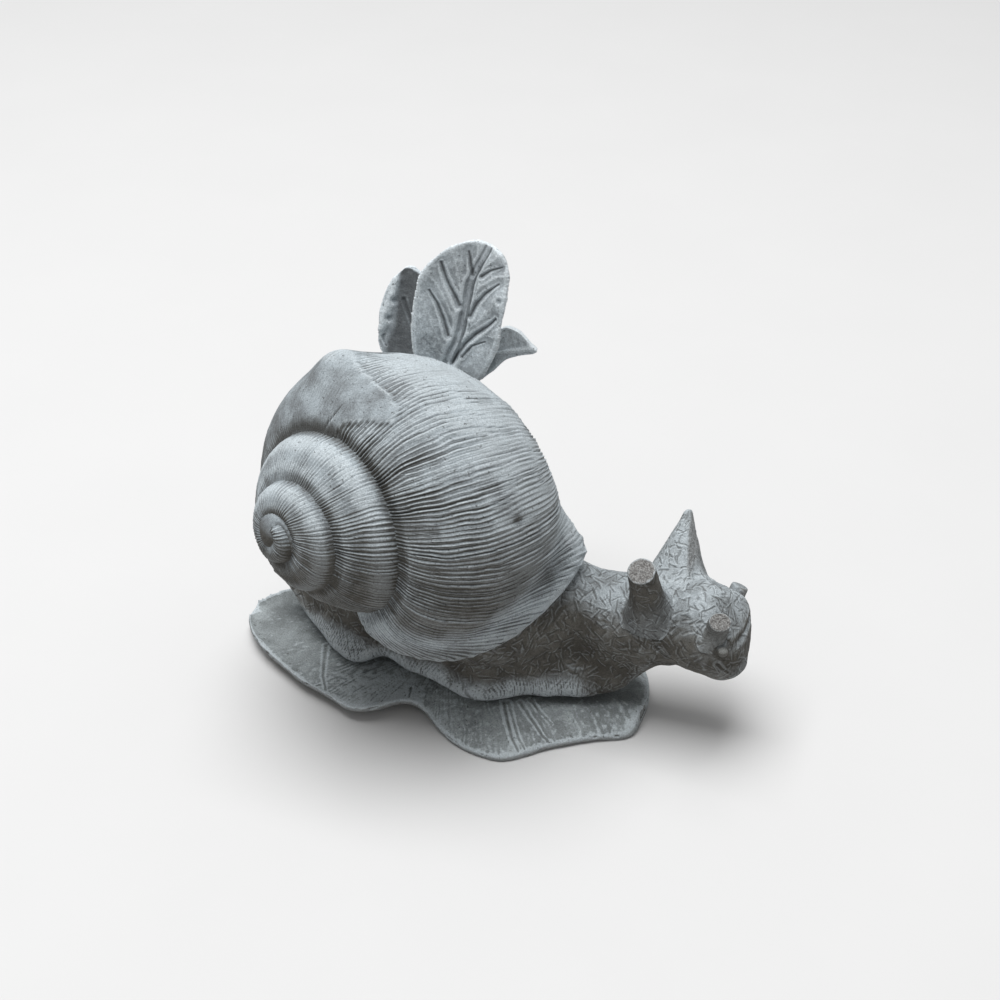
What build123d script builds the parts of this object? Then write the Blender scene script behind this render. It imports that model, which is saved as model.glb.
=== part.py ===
from build123d import *
from math import acos, asin, atan2, cos, pi, radians, sin, sqrt, tan
import os

# A cast stone snail on a leaf, in millimetres.
# +X is the way the snail looks, +Y is its left side and +Z is up.
# The origin is on the ground, under the middle of the shell and the leaf.

# Fits
seat_gap = 0.2          # play round a piece that sits in a pocket of another
cut_overrun = 400.0     # how far a cutting block runs past what it trims

# Snail body: foot, neck and head in one lofted piece
body_length = 309.0
body_width = 100.0
body_height = 110.0
tail_start = -127.0     # X of the tail's tip
sole_height = 12.0      # the sole's plane above the ground
# Along the body: station, foot edge reach and height, flank reach and height,
# crown height, sole height, middle line, and how full the flank is above the edge.
# Reaches and the middle line follow body_width, heights follow body_height.
body_shares = (
    (0.000, 0.04, 0.364, 0.03, 0.390, 0.410, 0.336, 0.200, 0.00),
    (0.030, 0.07, 0.330, 0.07, 0.380, 0.470, 0.280, 0.200, 0.00),
    (0.061, 0.12, 0.290, 0.10, 0.380, 0.580, 0.220, 0.195, -0.05),
    (0.102, 0.22, 0.245, 0.18, 0.410, 0.730, 0.136, 0.190, -0.10),
    (0.173, 0.36, 0.200, 0.30, 0.436, 0.910, 0.090, 0.170, -0.15),
    (0.254, 0.42, 0.180, 0.38, 0.450, 0.960, 0.090, 0.150, -0.15),
    (0.335, 0.37, 0.200, 0.42, 0.455, 0.980, 0.090, 0.130, -0.12),
    (0.406, 0.43, 0.210, 0.46, 0.455, 1.000, 0.090, 0.120, -0.12),
    (0.467, 0.49, 0.200, 0.50, 0.455, 1.000, 0.090, 0.120, -0.12),
    (0.528, 0.475, 0.180, 0.51, 0.470, 0.980, 0.090, 0.120, -0.12),
    (0.579, 0.395, 0.200, 0.45, 0.510, 0.955, 0.090, 0.120, -0.10),
    (0.630, 0.325, 0.180, 0.31, 0.560, 0.910, 0.090, 0.120, -0.15),
    (0.670, 0.28, 0.180, 0.23, 0.600, 0.873, 0.090, 0.120, -0.18),
    (0.721, 0.22, 0.185, 0.245, 0.610, 0.845, 0.110, 0.120, -0.12),
    (0.767, 0.15, 0.220, 0.265, 0.600, 0.855, 0.160, 0.120, -0.03),
    (0.797, 0.16, 0.320, 0.275, 0.610, 0.870, 0.280, 0.120, 0.05),
    (0.833, 0.20, 0.455, 0.285, 0.636, 0.895, 0.377, 0.120, 0.09),
    (0.884, 0.20, 0.490, 0.285, 0.664, 0.910, 0.418, 0.120, 0.09),
    (0.926, 0.205, 0.473, 0.29, 0.655, 0.914, 0.395, 0.120, 0.09),
    (0.955, 0.187, 0.468, 0.265, 0.627, 0.855, 0.400, 0.120, 0.09),
    (0.980, 0.14, 0.475, 0.20, 0.605, 0.780, 0.415, 0.120, 0.09),
    (0.994, 0.088, 0.505, 0.125, 0.590, 0.705, 0.463, 0.120, 0.09),
    (1.000, 0.030, 0.555, 0.045, 0.590, 0.636, 0.535, 0.120, 0.09),
)
under_share = 0.55      # where the sole turns up towards the foot's edge
under_rise_share = 0.26
waist_share = 0.45      # the point between the foot's edge and the flank
shoulder_share = 0.707  # the point between the flank and the crown, across and up

# Shell: a tube that winds down from the apex round a tilted axis
apex_x = -74.3
apex_y = -92.0
apex_z = 150.9
axis_heading = 239.9    # degrees in plan, pointing out of the apex
axis_rise = 7.9         # degrees above level
start_angle = 30.4      # degrees, where the seam starts, from straight up
seam_radius = 12.65     # seam radius after the first turn
seam_power = 1.356
spire_radius = 49.0     # the seam is spire_depth below the apex at this radius
spire_depth = 33.1
spire_power = 1.571
shell_turns = 4.279
lip_flare = 11.0
lip_turn = 0.05         # the part of a turn over which the lip flares
lip_lean = 33.0         # degrees by which the mouth leans back
base_flare_share = 0.8  # the lip's extra spread at its lower end
base_drop_share = 1.2
core_radius = 1.5       # the whorls stop short of the axis, where a pillar fills the gap
pillar_radius = 3.0
core_depth = 152.0      # the last turn closes on the axis at this depth
core_top = 4.0
pillar_depth = 153.5
dome_radius = 18.5      # the round cap on the apex
dome_depth = 17.5
# Turn, then the tube's reach, half width, upper and lower half height, each as a
# share of the seam radius that the winding has at that turn
tube_shares = (
    (0.000, 1.13, 0.750, 1.000, 1.000),
    (2.900, 1.12, 0.750, 1.000, 1.150),
    (3.200, 1.05, 0.730, 0.900, 1.150),
    (3.450, 0.90, 0.690, 0.757, 1.150),
    (3.700, 1.08, 0.592, 0.566, 1.070),
    (3.950, 1.065, 0.539, 0.482, 0.930),
    (4.286, 1.080, 0.448, 0.606, 0.790),
)
fan_whorls = 3          # whorls in one half plane, up to the end of the fourth turn
fan_wedges = 3
wedge_sections = 4      # steps in one wedge
mouth_steps = 10        # steps in the last stretch, which grows out of the fourth turn
lip_overrun = 0.08      # turns by which the stretch runs past the lip before it is cut
growth_step = 0.4       # its first section lies this far inside
arc_points = 5          # points on each of a whorl's two arcs
tuck_angle = 20.0       # degrees by which the last stretch runs on under the seam
tuck_depth = 12.0
base_angle = 125.0      # where a whorl's underside turns straight towards the axis

# Leaf that the snail sits on
leaf_length = 263.5
leaf_width = 146.0
leaf_start = -138.5
leaf_middle = 6.5       # Y of the leaf's middle line
leaf_swell = 11.0       # top of the leaf under the foot
leaf_rim = 3.6          # thickness at the margin
leaf_bed_share = 0.30   # half width of the leaf's flat bed, as a share of its width
leaf_foot_share = 0.24  # half width of what rests on the ground
bed_reach_share = 0.6   # where the leaf is narrow, the bed ends this far out to the margin
foot_reach_share = 0.5
foot_sink = 1.8         # how far the swelling underside would dip below the ground
# Along the leaf: station, near and far margin as shares of the width, and the
# height of each margin's top as a share of the bed's height
leaf_shares = (
    (0.000, 0.035, 0.045, 1.30, 1.30),
    (0.030, 0.135, 0.125, 1.28, 1.35),
    (0.075, 0.215, 0.200, 1.15, 1.40),
    (0.140, 0.290, 0.275, 1.10, 1.35),
    (0.215, 0.370, 0.350, 1.10, 1.20),
    (0.295, 0.425, 0.420, 1.10, 1.05),
    (0.362, 0.475, 0.465, 1.20, 1.00),
    (0.425, 0.445, 0.450, 1.30, 1.10),
    (0.482, 0.350, 0.415, 1.15, 1.25),
    (0.520, 0.345, 0.400, 0.75, 1.30),
    (0.566, 0.405, 0.420, 0.48, 1.15),
    (0.634, 0.475, 0.465, 0.36, 0.90),
    (0.695, 0.500, 0.500, 0.36, 0.70),
    (0.747, 0.485, 0.490, 0.36, 0.62),
    (0.807, 0.390, 0.445, 0.40, 0.65),
    (0.867, 0.310, 0.380, 0.44, 0.70),
    (0.927, 0.240, 0.300, 0.42, 0.75),
    (0.979, 0.190, 0.175, 0.36, 0.75),
    (1.000, 0.110, 0.060, 0.50, 0.65),
)
bed_length = 150.0      # raised bed that the sole rests on
bed_width = 40.0
bed_x = 4.0
bed_y = 12.0
stud_radius = 7.0       # two moulded studs that keep the foot in place
stud_height = 5.0
stud_spacing = 90.0

# Horns and feelers, each a tapered stump with its root let into the head.
# Root centre and break centre are real places on the head.
horn_radius = 14.0
horn_break_radius = 7.0
right_horn_share = 0.8139  # where along the body each horn stands
left_horn_share = 0.8495
horn_reach_share = 0.18 # from the head's middle plane to the foot of the horn, by body_width
horn_height_share = 0.8273
horn_rise = 37.0
horn_spread = 17.0
horn_back = 2.5
horn_root = 9.0
horn_shares = ((0.0, 1.0), (0.22, 0.86), (0.5, 0.62), (0.8, 0.53), (1.0, 0.5))
broad_horn_radius = 20.0
broad_horn_shares = ((0.0, 1.0), (0.25, 0.86), (0.5, 0.66), (0.8, 0.34), (1.0, 0.15))
horn_break_tilt = 12.0  # degrees by which the stump's face leans
split_tilt = 14.0       # degrees of the flake that left the other horn
split_share = 0.42
feeler_radius = 5.0
feeler_share = 0.9469   # its place on the head, by the body's length, width and height
feeler_reach_share = 0.24
feeler_height_share = 0.7727
feeler_length = 8.2
feeler_root = 4.0
feeler_tilt = 38.0      # degrees out from upright
feeler_lean_share = 0.25
feeler_shares = ((0.0, 1.25), (0.4, 1.06), (1.0, 1.0))
head_middle_share = 0.12  # the head's middle plane is this share of body_width to the left

# Eyes: a bead in a round pit
eye_radius = 2.3
eye_pit_radius = 4.0
eye_pit_depth = 2.6
eye_share = 0.9709      # its place on the head, as the feeler's
eye_reach_share = 0.24
eye_height_share = 0.7136
eye_heading = 22.0      # degrees forward of straight sideways
eye_rise_share = 0.3
eye_overrun = 8.0       # how far the pit's cutter runs out of the head

# Sprig of three leaves on the back of the shell
knuckle_radius = 13.0
knuckle_x = -31.0
knuckle_y = 64.0
knuckle_z = 160.0
tenon_radius = 4.0
tenon_length = 22.0
tenon_floor = 12.0      # depth of the tenon's end below the knuckle's middle
blade_thickness = 4.0
blade_back_share = 0.97 # a blade's back is this much narrower than its front
cup_middle_share = 0.35 # how far the hollow front has risen half way to the margin
# Station, reach to the left and to the right as shares of the blade's own reach
tall_shares = (
    (0.00, 0.12, 0.12),
    (0.10, 0.34, 0.46),
    (0.22, 0.56, 0.72),
    (0.36, 0.74, 0.88),
    (0.52, 0.84, 0.97),
    (0.70, 0.88, 1.00),
    (0.85, 0.78, 0.86),
    (0.94, 0.54, 0.62),
    (1.00, 0.12, 0.14),
)
curled_shares = (
    (0.00, 0.13, 0.13),
    (0.14, 0.40, 0.34),
    (0.30, 0.66, 0.60),
    (0.50, 0.76, 0.74),
    (0.70, 0.72, 0.74),
    (0.86, 0.50, 0.62),
    (0.95, 0.26, 0.36),
    (1.00, 0.08, 0.10),
)
pointed_shares = (
    (0.00, 0.20, 0.20),
    (0.18, 0.60, 0.60),
    (0.40, 1.00, 0.95),
    (0.60, 1.00, 0.95),
    (0.78, 0.66, 0.66),
    (0.92, 0.26, 0.26),
    (1.00, 0.08, 0.08),
)
# Root, bow and tip of each midrib, measured from the middle of the knuckle
tall_reach = 30.0
tall_root = (0.0, -1.2, 4.0)
tall_bow = (10.8, -1.2, 48.6)
tall_tip = (21.0, 7.0, 106.0)
tall_cup = 4.0
curled_reach = 27.0
curled_root = (-6.0, 7.0, 3.0)
curled_bow = (-21.0, 16.0, 32.0)
curled_tip = (-26.0, 22.0, 74.0)
curled_cup = 8.0
pointed_reach = 15.0
pointed_root = (6.0, 7.0, 4.0)
pointed_bow = (28.0, 9.0, 44.0)
pointed_tip = (57.0, 15.0, 36.0)
pointed_cup = 4.0


def at_station(table, place):
    """Values of a table of rows at a place between its first column's numbers, without corners."""
    last = len(table) - 1
    low = max(i for i in range(last) if table[i][0] <= place or i == 0)
    before, start, end, after = table[max(low - 1, 0)], table[low], table[low + 1], table[min(low + 2, last)]
    span = end[0] - start[0]
    part = min(max((place - start[0]) / span, 0), 1)
    values = []
    for k in range(1, len(start)):
        slope_in = (end[k] - before[k]) / (end[0] - before[0]) * span
        slope_out = (after[k] - start[k]) / (after[0] - start[0]) * span
        values.append(
            (2 * part**3 - 3 * part**2 + 1) * start[k] + (part**3 - 2 * part**2 + part) * slope_in
            + (3 * part**2 - 2 * part**3) * end[k] + (part**3 - part**2) * slope_out
        )
    return values


def one_solid(shape):
    """The largest solid of a shape, without the crumbs that a trim can leave."""
    return max(shape.solids(), key=lambda solid: solid.volume)


def body_section(row):
    """Closed outline of the body across one station."""
    along, edge, edge_z, flank, flank_z, crown_z, sole_z, middle, fullness = row
    x = tail_start + along * body_length
    edge, flank, middle = edge * body_width, flank * body_width, middle * body_width
    edge_z, flank_z = edge_z * body_height, flank_z * body_height
    crown_z, sole_z = crown_z * body_height, sole_z * body_height
    half = [
        (under_share * edge, sole_z + under_rise_share * (edge_z - sole_z)),
        (edge, edge_z),
        (
            edge + waist_share * (flank - edge) + fullness * flank,
            edge_z + waist_share * (flank_z - edge_z),
        ),
        (flank, flank_z),
        (flank * shoulder_share, flank_z + (crown_z - flank_z) * shoulder_share),
    ]
    near = [(x, middle - out, z) for out, z in half]
    far = [(x, middle + out, z) for out, z in reversed(half)]
    points = [(x, middle, sole_z)] + near + [(x, middle, crown_z)] + far
    return Face(Wire([Spline(*points, periodic=True)]))


def seam(turn):
    """Radius and depth of the shell's seam."""
    radius = seam_radius * max(turn, 0) ** seam_power
    return radius, spire_depth * (radius / spire_radius) ** spire_power


def shell_frame():
    """Apex, the direction down the axis, and the two directions across it."""
    heading, rise = radians(axis_heading), radians(axis_rise)
    out = Vector(cos(heading) * cos(rise), sin(heading) * cos(rise), sin(rise))
    up = Vector(0, 0, 1)
    up = (up - out * up.dot(out)).normalized()
    return Vector(apex_x, apex_y, apex_z), out * -1, up, up.cross(out)


def whorl(turn, skin):
    """Centre line, half width, centre depth, upper and lower half height, and first angle of a whorl."""
    winding = seam_radius * turn**seam_power
    reach, width, above, below = [share * winding for share in at_station(tube_shares, turn)]
    middle = reach - width
    seam_r, seam_s = seam(turn - 1)
    lift = (max(seam_r, pillar_radius) - middle) / width
    depth = seam_s + above * sqrt(1 - lift**2)
    return middle, width + skin, depth, above + skin, below + skin, asin(lift)


def upper_arc(turn, skin, covered=True, tuck=0):
    """Radius and depth from the seam of the turn before to the whorl's own seam, or to its widest place."""
    middle, width, depth, above, below, first = whorl(turn, skin)
    first -= radians(tuck)
    last = asin((seam(turn)[0] - middle) / width) if covered else pi / 2
    angles = [first + (last - first) * i / (arc_points - 1) for i in range(arc_points)]
    return [(middle + width * sin(angle), depth - above * cos(angle)) for angle in angles]


def lower_arc(turn, skin):
    """Radius and depth from below the whorl's widest place in to the axis."""
    middle, width, depth, above, below, first = whorl(turn, skin)
    last = min(acos(max(pillar_radius - middle, -width) / width), radians(base_angle))
    angles = [last * i / (arc_points - 1) for i in range(1, arc_points)]
    return [(middle + width * cos(angle), depth + below * sin(angle)) for angle in angles]


def half_plane(turn):
    """The directions outwards and onwards at a turn of the winding."""
    apex, down, up, side = shell_frame()
    angle = radians(start_angle) + 2 * pi * turn
    return up * cos(angle) + side * sin(angle), side * cos(angle) - up * sin(angle)


def outline_face(turn, arcs, corners):
    """Face in a turn's half plane, from smooth arcs and the straight runs that close them."""
    apex, down, up, side = shell_frame()
    radial, forward = half_plane(turn)
    arcs = [[apex + radial * r + down * s for r, s in arc] for arc in arcs]
    corners = [apex + radial * r + down * s for r, s in corners]
    edges = [Spline(*arc) for arc in arcs]
    edges += [Line(start, end) for start, end in zip(corners, corners[1:])]
    return Face(Wire(edges))


def fan_section(turn, skin):
    """Every whorl that one half plane through the axis meets, as one scalloped outline."""
    arcs = [upper_arc(turn + i, skin, i < fan_whorls - 1) for i in range(fan_whorls)]
    for arc, after in zip(arcs, arcs[1:]):
        arc[-1] = after[0]
    arcs[-1] += lower_arc(turn + fan_whorls - 1, skin)
    top = (core_radius, arcs[0][0][1])
    floor = (core_radius, core_depth + skin)
    return outline_face(turn, arcs, [arcs[-1][-1], floor, top, arcs[0][0]])


def mouth_section(turn, skin):
    """The last whorl's outline, which flares towards the lip."""
    middle, width, depth, above, below, first = whorl(turn, skin)
    arc = []
    for r, s in upper_arc(turn, skin, False, tuck_angle) + lower_arc(turn, skin):
        lag = atan2((s - depth) * tan(radians(lip_lean)), r) / (2 * pi)
        flare = lip_flare * min(max((turn - shell_turns + lag + lip_turn) / lip_turn, 0), 1) ** 2
        out, low = max((r - middle) / width, 0), max((s - depth) / below, 0)
        arc.append((r + flare * (out**2 + base_flare_share * low), s + flare * base_drop_share * low))
    floor = (core_radius, core_depth + skin)
    inner = (core_radius, arc[0][1] + tuck_depth)
    return outline_face(turn, [arc], [arc[-1], floor, inner, arc[0]])


def make_mouth(skin):
    """The last stretch of the winding, cut off along the leaning lip."""
    apex, down, up, side = shell_frame()
    radial, forward = half_plane(shell_turns)
    start = fan_whorls + 1
    span = shell_turns + lip_overrun - start
    stretch = loft([
        mouth_section(start + span * i / mouth_steps, skin if i else skin - growth_step)
        for i in range(mouth_steps + 1)
    ])
    lip = Plane(
        origin=apex + down * whorl(shell_turns, skin)[2] + forward * skin,
        z_dir=forward + down * tan(radians(lip_lean)),
    )
    return stretch - lip * Box(cut_overrun, cut_overrun, cut_overrun, align=(Align.CENTER, Align.CENTER, Align.MIN))


def make_shell(skin=0):
    """The whole winding, from the apex to the lip."""
    apex, down, up, side = shell_frame()
    pillar = Plane(origin=apex + down * core_top, z_dir=down) * Cylinder(
        pillar_radius, pillar_depth + skin - core_top, align=(Align.CENTER, Align.CENTER, Align.MIN)
    )
    dome = Pos(*(apex + down * dome_depth)) * Sphere(dome_radius + skin)
    wedges = []
    for i in range(fan_wedges):
        turns = [1 + (i + j / wedge_sections) / fan_wedges for j in range(wedge_sections + 1)]
        wedges.append(loft([fan_section(turn, skin if turn > 1 else skin - growth_step) for turn in turns]))
    return one_solid(pillar.fuse(dome, *wedges).fuse(make_mouth(skin)))


def stump(root, tip, radius, shares, skin=0):
    """A tapered round piece from its root to its tip; skin widens it without moving its ends."""
    way = tip - root
    rings = [Plane(origin=root + way * part, z_dir=way) * Circle(radius * share + skin) for part, share in shares]
    return loft([ring.face() for ring in rings])


def head_spot(along, reach, height):
    """A place on the head from its shares of the body's length, width and height."""
    return Vector(
        tail_start + along * body_length, (head_middle_share + reach) * body_width, height * body_height
    )


def horn_ends(side):
    """Root centre and tip centre of a horn; side is 1 on the snail's left and -1 on its right."""
    share = left_horn_share if side > 0 else right_horn_share
    foot = head_spot(share, side * horn_reach_share, horn_height_share)
    way = Vector(-horn_back, side * horn_spread, horn_rise)
    return foot - way.normalized() * horn_root, foot + way


def make_right_horn(skin=0):
    """The horn that is broken off short, with a tilted face."""
    root, tip = horn_ends(-1)
    horn = stump(root, tip, horn_radius, horn_shares, skin)
    face = Plane(origin=tip, z_dir=tip - root).rotated((horn_break_tilt, 0, 0))
    cutter = face * Box(cut_overrun, cut_overrun, cut_overrun, align=(Align.CENTER, Align.CENTER, Align.MIN))
    return one_solid(horn - cutter)


def make_left_horn(skin=0):
    """The broad horn with a flake gone from its front."""
    root, tip = horn_ends(1)
    horn = stump(root, tip, broad_horn_radius, broad_horn_shares, skin)
    start = tip + Vector(broad_horn_radius * broad_horn_shares[-1][1] * split_share, 0, 0)
    cutter = Plane(origin=start, z_dir=(1, 0, 0)).rotated((0, -split_tilt, 0)) * Box(
        cut_overrun, cut_overrun, cut_overrun, align=(Align.CENTER, Align.CENTER, Align.MIN)
    )
    return one_solid(horn - cutter)


def make_feeler(side, skin=0):
    """A short lower feeler, broken off."""
    foot = head_spot(feeler_share, side * feeler_reach_share, feeler_height_share)
    tilt = radians(feeler_tilt)
    way = Vector(feeler_lean_share, side * sin(tilt), cos(tilt)).normalized()
    return stump(foot - way * feeler_root, foot + way * feeler_length, feeler_radius, feeler_shares, skin)


def eye_plane(side):
    """Plane of the eye pit's floor, facing out of the head."""
    heading = radians(eye_heading)
    way = Vector(sin(heading), side * cos(heading), eye_rise_share).normalized()
    foot = head_spot(eye_share, side * eye_reach_share, eye_height_share)
    return Plane(origin=foot - way * eye_pit_depth, z_dir=way)


def make_eye(side):
    """A bead with a flat back that rests on the pit's floor."""
    plane = eye_plane(side)
    bead = plane * Pos(0, 0, eye_radius / 2) * Sphere(eye_radius)
    back = plane * Box(cut_overrun, cut_overrun, cut_overrun, align=(Align.CENTER, Align.CENTER, Align.MAX))
    return one_solid(bead - back)


def make_eye_pit(side):
    """Cutter for the round pit round an eye."""
    return eye_plane(side) * Cylinder(
        eye_pit_radius, eye_pit_depth + eye_overrun, align=(Align.CENTER, Align.CENTER, Align.MIN)
    )


def blade_section(base, bow, tip, part, left, right, cup, skin):
    """Closed outline across a leaf blade; its front is hollow, with the midrib at the bottom."""
    spot = base * (1 - part) ** 2 + bow * (2 * part * (1 - part)) + tip * part**2
    way = ((bow - base) * (1 - part) + (tip - bow) * part).normalized()
    across = way.cross(Vector(0, -1, 0)).normalized()
    front = across.cross(way)
    thick = blade_thickness + 2 * skin
    left, right = left + skin, right + skin
    rim = cup * min(left, right) / tall_reach
    reaches = [-left, -left / 2, 0, right / 2, right]
    rises = [rim, rim * cup_middle_share, 0, rim * cup_middle_share, rim]
    face = [spot + across * out + front * (rise + thick / 2) for out, rise in zip(reaches, rises)]
    back = [
        spot + across * out * blade_back_share + front * (rise - thick / 2) for out, rise in zip(reaches, rises)
    ]
    back.reverse()
    edges = [Spline(*face), Line(face[-1], back[0]), Spline(*back), Line(back[-1], face[0])]
    return Face(Wire(edges))


def make_blade(root, bow, tip, reach, shares, cup, skin=0):
    """One upright leaf, from its stem in the knuckle to its tip."""
    middle = Vector(knuckle_x, knuckle_y, knuckle_z)
    root, bow, tip = middle + Vector(*root), middle + Vector(*bow), middle + Vector(*tip)
    return loft([
        blade_section(root, bow, tip, part, reach * left, reach * right, cup, skin) for part, left, right in shares
    ])


def make_blades(skin=0):
    """The three leaves of the sprig."""
    return {
        "leaf_tall": make_blade(tall_root, tall_bow, tall_tip, tall_reach, tall_shares, tall_cup, skin),
        "leaf_curled": make_blade(curled_root, curled_bow, curled_tip, curled_reach, curled_shares, curled_cup, skin),
        "leaf_pointed": make_blade(
            pointed_root, pointed_bow, pointed_tip, pointed_reach, pointed_shares, pointed_cup, skin
        ),
    }


def make_tenon(skin=0):
    """Round tenon that runs from the knuckle into the shell."""
    middle = Vector(knuckle_x, knuckle_y, knuckle_z)
    way = Vector(0, 1, 0)
    plane = Plane(origin=middle - way * tenon_floor, z_dir=way)
    return plane * Cylinder(tenon_radius + skin, tenon_length, align=(Align.CENTER, Align.CENTER, Align.MIN))


def leaf_section(row):
    """Outline across the leaf under the snail: a swelling back, thin margins and a flat bottom."""
    along, near, far, near_top, far_top = row
    x = leaf_start + along * leaf_length
    near, far = leaf_middle - near * leaf_width, leaf_middle + far * leaf_width
    near_z, far_z = near_top * leaf_swell, far_top * leaf_swell
    bed = leaf_bed_share * leaf_width
    foot = leaf_foot_share * leaf_width
    near_bed = max(-bed, bed_reach_share * (near - leaf_middle))
    far_bed = min(bed, bed_reach_share * (far - leaf_middle))
    near_foot = max(-foot, foot_reach_share * (near - leaf_middle))
    far_foot = min(foot, foot_reach_share * (far - leaf_middle))
    top = [
        (x, near, near_z),
        (x, leaf_middle + near_bed, leaf_swell),
        (x, leaf_middle, leaf_swell),
        (x, leaf_middle + far_bed, leaf_swell),
        (x, far, far_z),
    ]
    bottom = [
        (x, far, far_z - leaf_rim),
        (x, leaf_middle + far_foot, -foot_sink / 2),
        (x, leaf_middle, -foot_sink),
        (x, leaf_middle + near_foot, -foot_sink / 2),
        (x, near, near_z - leaf_rim),
    ]
    edges = [Spline(*top), Line(top[-1], bottom[0]), Spline(*bottom), Line(bottom[-1], top[0])]
    return Face(Wire(edges))


def make_leaf_base():
    """Leaf with a raised bed and two studs under the foot."""
    leaf = loft([leaf_section(row) for row in leaf_shares])
    bed = Pos(bed_x, bed_y, leaf_swell / 2) * extrude(
        SlotOverall(bed_length, bed_width), sole_height - leaf_swell / 2
    )
    ground = Box(cut_overrun, cut_overrun, cut_overrun, align=(Align.CENTER, Align.CENTER, Align.MAX))
    return one_solid(leaf + bed + make_studs() - ground)


def make_studs(skin=0):
    """Two round studs between the leaf and the foot."""
    studs = [
        Pos(bed_x + side * stud_spacing / 2, bed_y, leaf_swell / 2)
        * Cylinder(
            stud_radius + skin,
            sole_height + stud_height - leaf_swell / 2 + skin,
            align=(Align.CENTER, Align.CENTER, Align.MIN),
        )
        for side in (-1, 1)
    ]
    return studs[0] + studs[1]


def make_body():
    """Foot, neck and head, trimmed to sit on the leaf and to carry every other piece."""
    body = loft([body_section(row) for row in body_shares])
    below = Pos(0, 0, sole_height) * Box(
        cut_overrun, cut_overrun, cut_overrun, align=(Align.CENTER, Align.CENTER, Align.MAX)
    )
    body = body - below - make_shell(seat_gap) - make_studs(seat_gap)
    for cutter in (make_right_horn(seat_gap), make_left_horn(seat_gap), make_feeler(-1, seat_gap),
                   make_feeler(1, seat_gap), make_eye_pit(-1), make_eye_pit(1)):
        body = body - cutter
    return one_solid(body)


def make_knuckle():
    """Swollen foot of the sprig, shaped to the shell and hollowed for the three stems."""
    ball = Pos(knuckle_x, knuckle_y, knuckle_z) * Sphere(knuckle_radius)
    knuckle = ball - make_shell(seat_gap) + make_tenon()
    for blade in make_blades(seat_gap).values():
        knuckle = knuckle - blade
    return one_solid(knuckle)


def make_pieces():
    """Every piece of the figure by its name."""
    pieces = {
        "leaf_base": make_leaf_base(),
        "snail_body": make_body(),
        "shell": one_solid(make_shell() - make_tenon(seat_gap)),
        "horn_right": make_right_horn(),
        "horn_left": make_left_horn(),
        "feeler_right": make_feeler(-1),
        "feeler_left": make_feeler(1),
        "eye_right": make_eye(-1),
        "eye_left": make_eye(1),
        "sprig_knuckle": make_knuckle(),
    }
    pieces.update(make_blades())
    return pieces


def main():
    """Build every piece and write one STEP file for each."""
    os.makedirs("parts", exist_ok=True)
    for name, piece in make_pieces().items():
        piece.label = name
        export_step(piece, "parts/" + name + ".step")
        print(name, round(piece.volume))


if __name__ == "__main__":
    main()
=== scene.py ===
import math

import bmesh
import bpy
import numpy as np
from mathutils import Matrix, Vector
from mathutils.kdtree import KDTree


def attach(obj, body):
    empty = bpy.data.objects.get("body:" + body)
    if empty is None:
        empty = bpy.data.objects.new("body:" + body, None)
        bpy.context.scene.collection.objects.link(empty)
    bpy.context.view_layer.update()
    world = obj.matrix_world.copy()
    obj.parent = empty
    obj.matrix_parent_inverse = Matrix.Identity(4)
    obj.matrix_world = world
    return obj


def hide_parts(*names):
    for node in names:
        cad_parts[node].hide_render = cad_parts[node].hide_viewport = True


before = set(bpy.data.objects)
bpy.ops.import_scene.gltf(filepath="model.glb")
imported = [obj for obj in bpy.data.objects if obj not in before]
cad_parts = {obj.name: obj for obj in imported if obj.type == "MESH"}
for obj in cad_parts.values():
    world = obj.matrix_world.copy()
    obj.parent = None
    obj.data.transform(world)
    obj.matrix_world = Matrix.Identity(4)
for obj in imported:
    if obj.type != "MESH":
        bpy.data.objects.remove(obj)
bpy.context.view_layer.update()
print("frame loaded")

# Lengths below are in millimetres; makeMesh and writePoints turn them into metres.
millimetre = 0.001


def smoothTable(table, place):  # smooth values of a table of rows, one array for each column after the first
    rows = np.array(table, float)
    place = np.clip(np.asarray(place, float), rows[0, 0], rows[-1, 0])
    low = np.clip(np.searchsorted(rows[:, 0], place, side="right") - 1, 0, len(rows) - 2)
    before, start = rows[np.maximum(low - 1, 0)], rows[low]
    end, after = rows[low + 1], rows[np.minimum(low + 2, len(rows) - 1)]
    span = end[..., 0] - start[..., 0]
    part = ((place - start[..., 0]) / span)[..., None]
    slopeIn = (end - before) / (end[..., :1] - before[..., :1]) * span[..., None]
    slopeOut = (after - start) / (after[..., :1] - start[..., :1]) * span[..., None]
    values = ((2 * part**3 - 3 * part**2 + 1) * start + (part**3 - 2 * part**2 + part) * slopeIn
              + (3 * part**2 - 2 * part**3) * end + (part**3 - part**2) * slopeOut)
    return np.moveaxis(values[..., 1:], -1, 0)


def randomOf(keys, seed):  # a steady random number from 0 to 1 for each whole number
    keys = (np.asarray(keys, np.int64) * 2654435761 + seed * 40503 + 12345) & 0xFFFFFFFF
    keys = ((keys >> 16) ^ keys) * 73244475 & 0xFFFFFFFF
    keys = ((keys >> 15) ^ keys) * 73244475 & 0xFFFFFFFF
    return ((keys >> 16) ^ keys & 0xFFFF) % 65521 / 65520.0


def lumpNoise(points, size, seed):  # smooth random lumps of a size, from -1 to 1
    at = np.asarray(points, float) / size + 13.7 * seed + 211.0
    cell = np.floor(at).astype(np.int64)
    part = at - cell
    part = part * part * (3 - 2 * part)
    total = np.zeros(at.shape[:-1])
    for corner in range(2 ** at.shape[-1]):
        key = np.zeros(at.shape[:-1], np.int64)
        weight = np.ones(at.shape[:-1])
        for k in range(at.shape[-1]):
            bit = (corner >> k) & 1
            key = key * 1031 + cell[..., k] + bit
            weight = weight * (part[..., k] if bit else 1 - part[..., k])
        total += weight * (2 * randomOf(key, seed) - 1)
    return total


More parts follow.
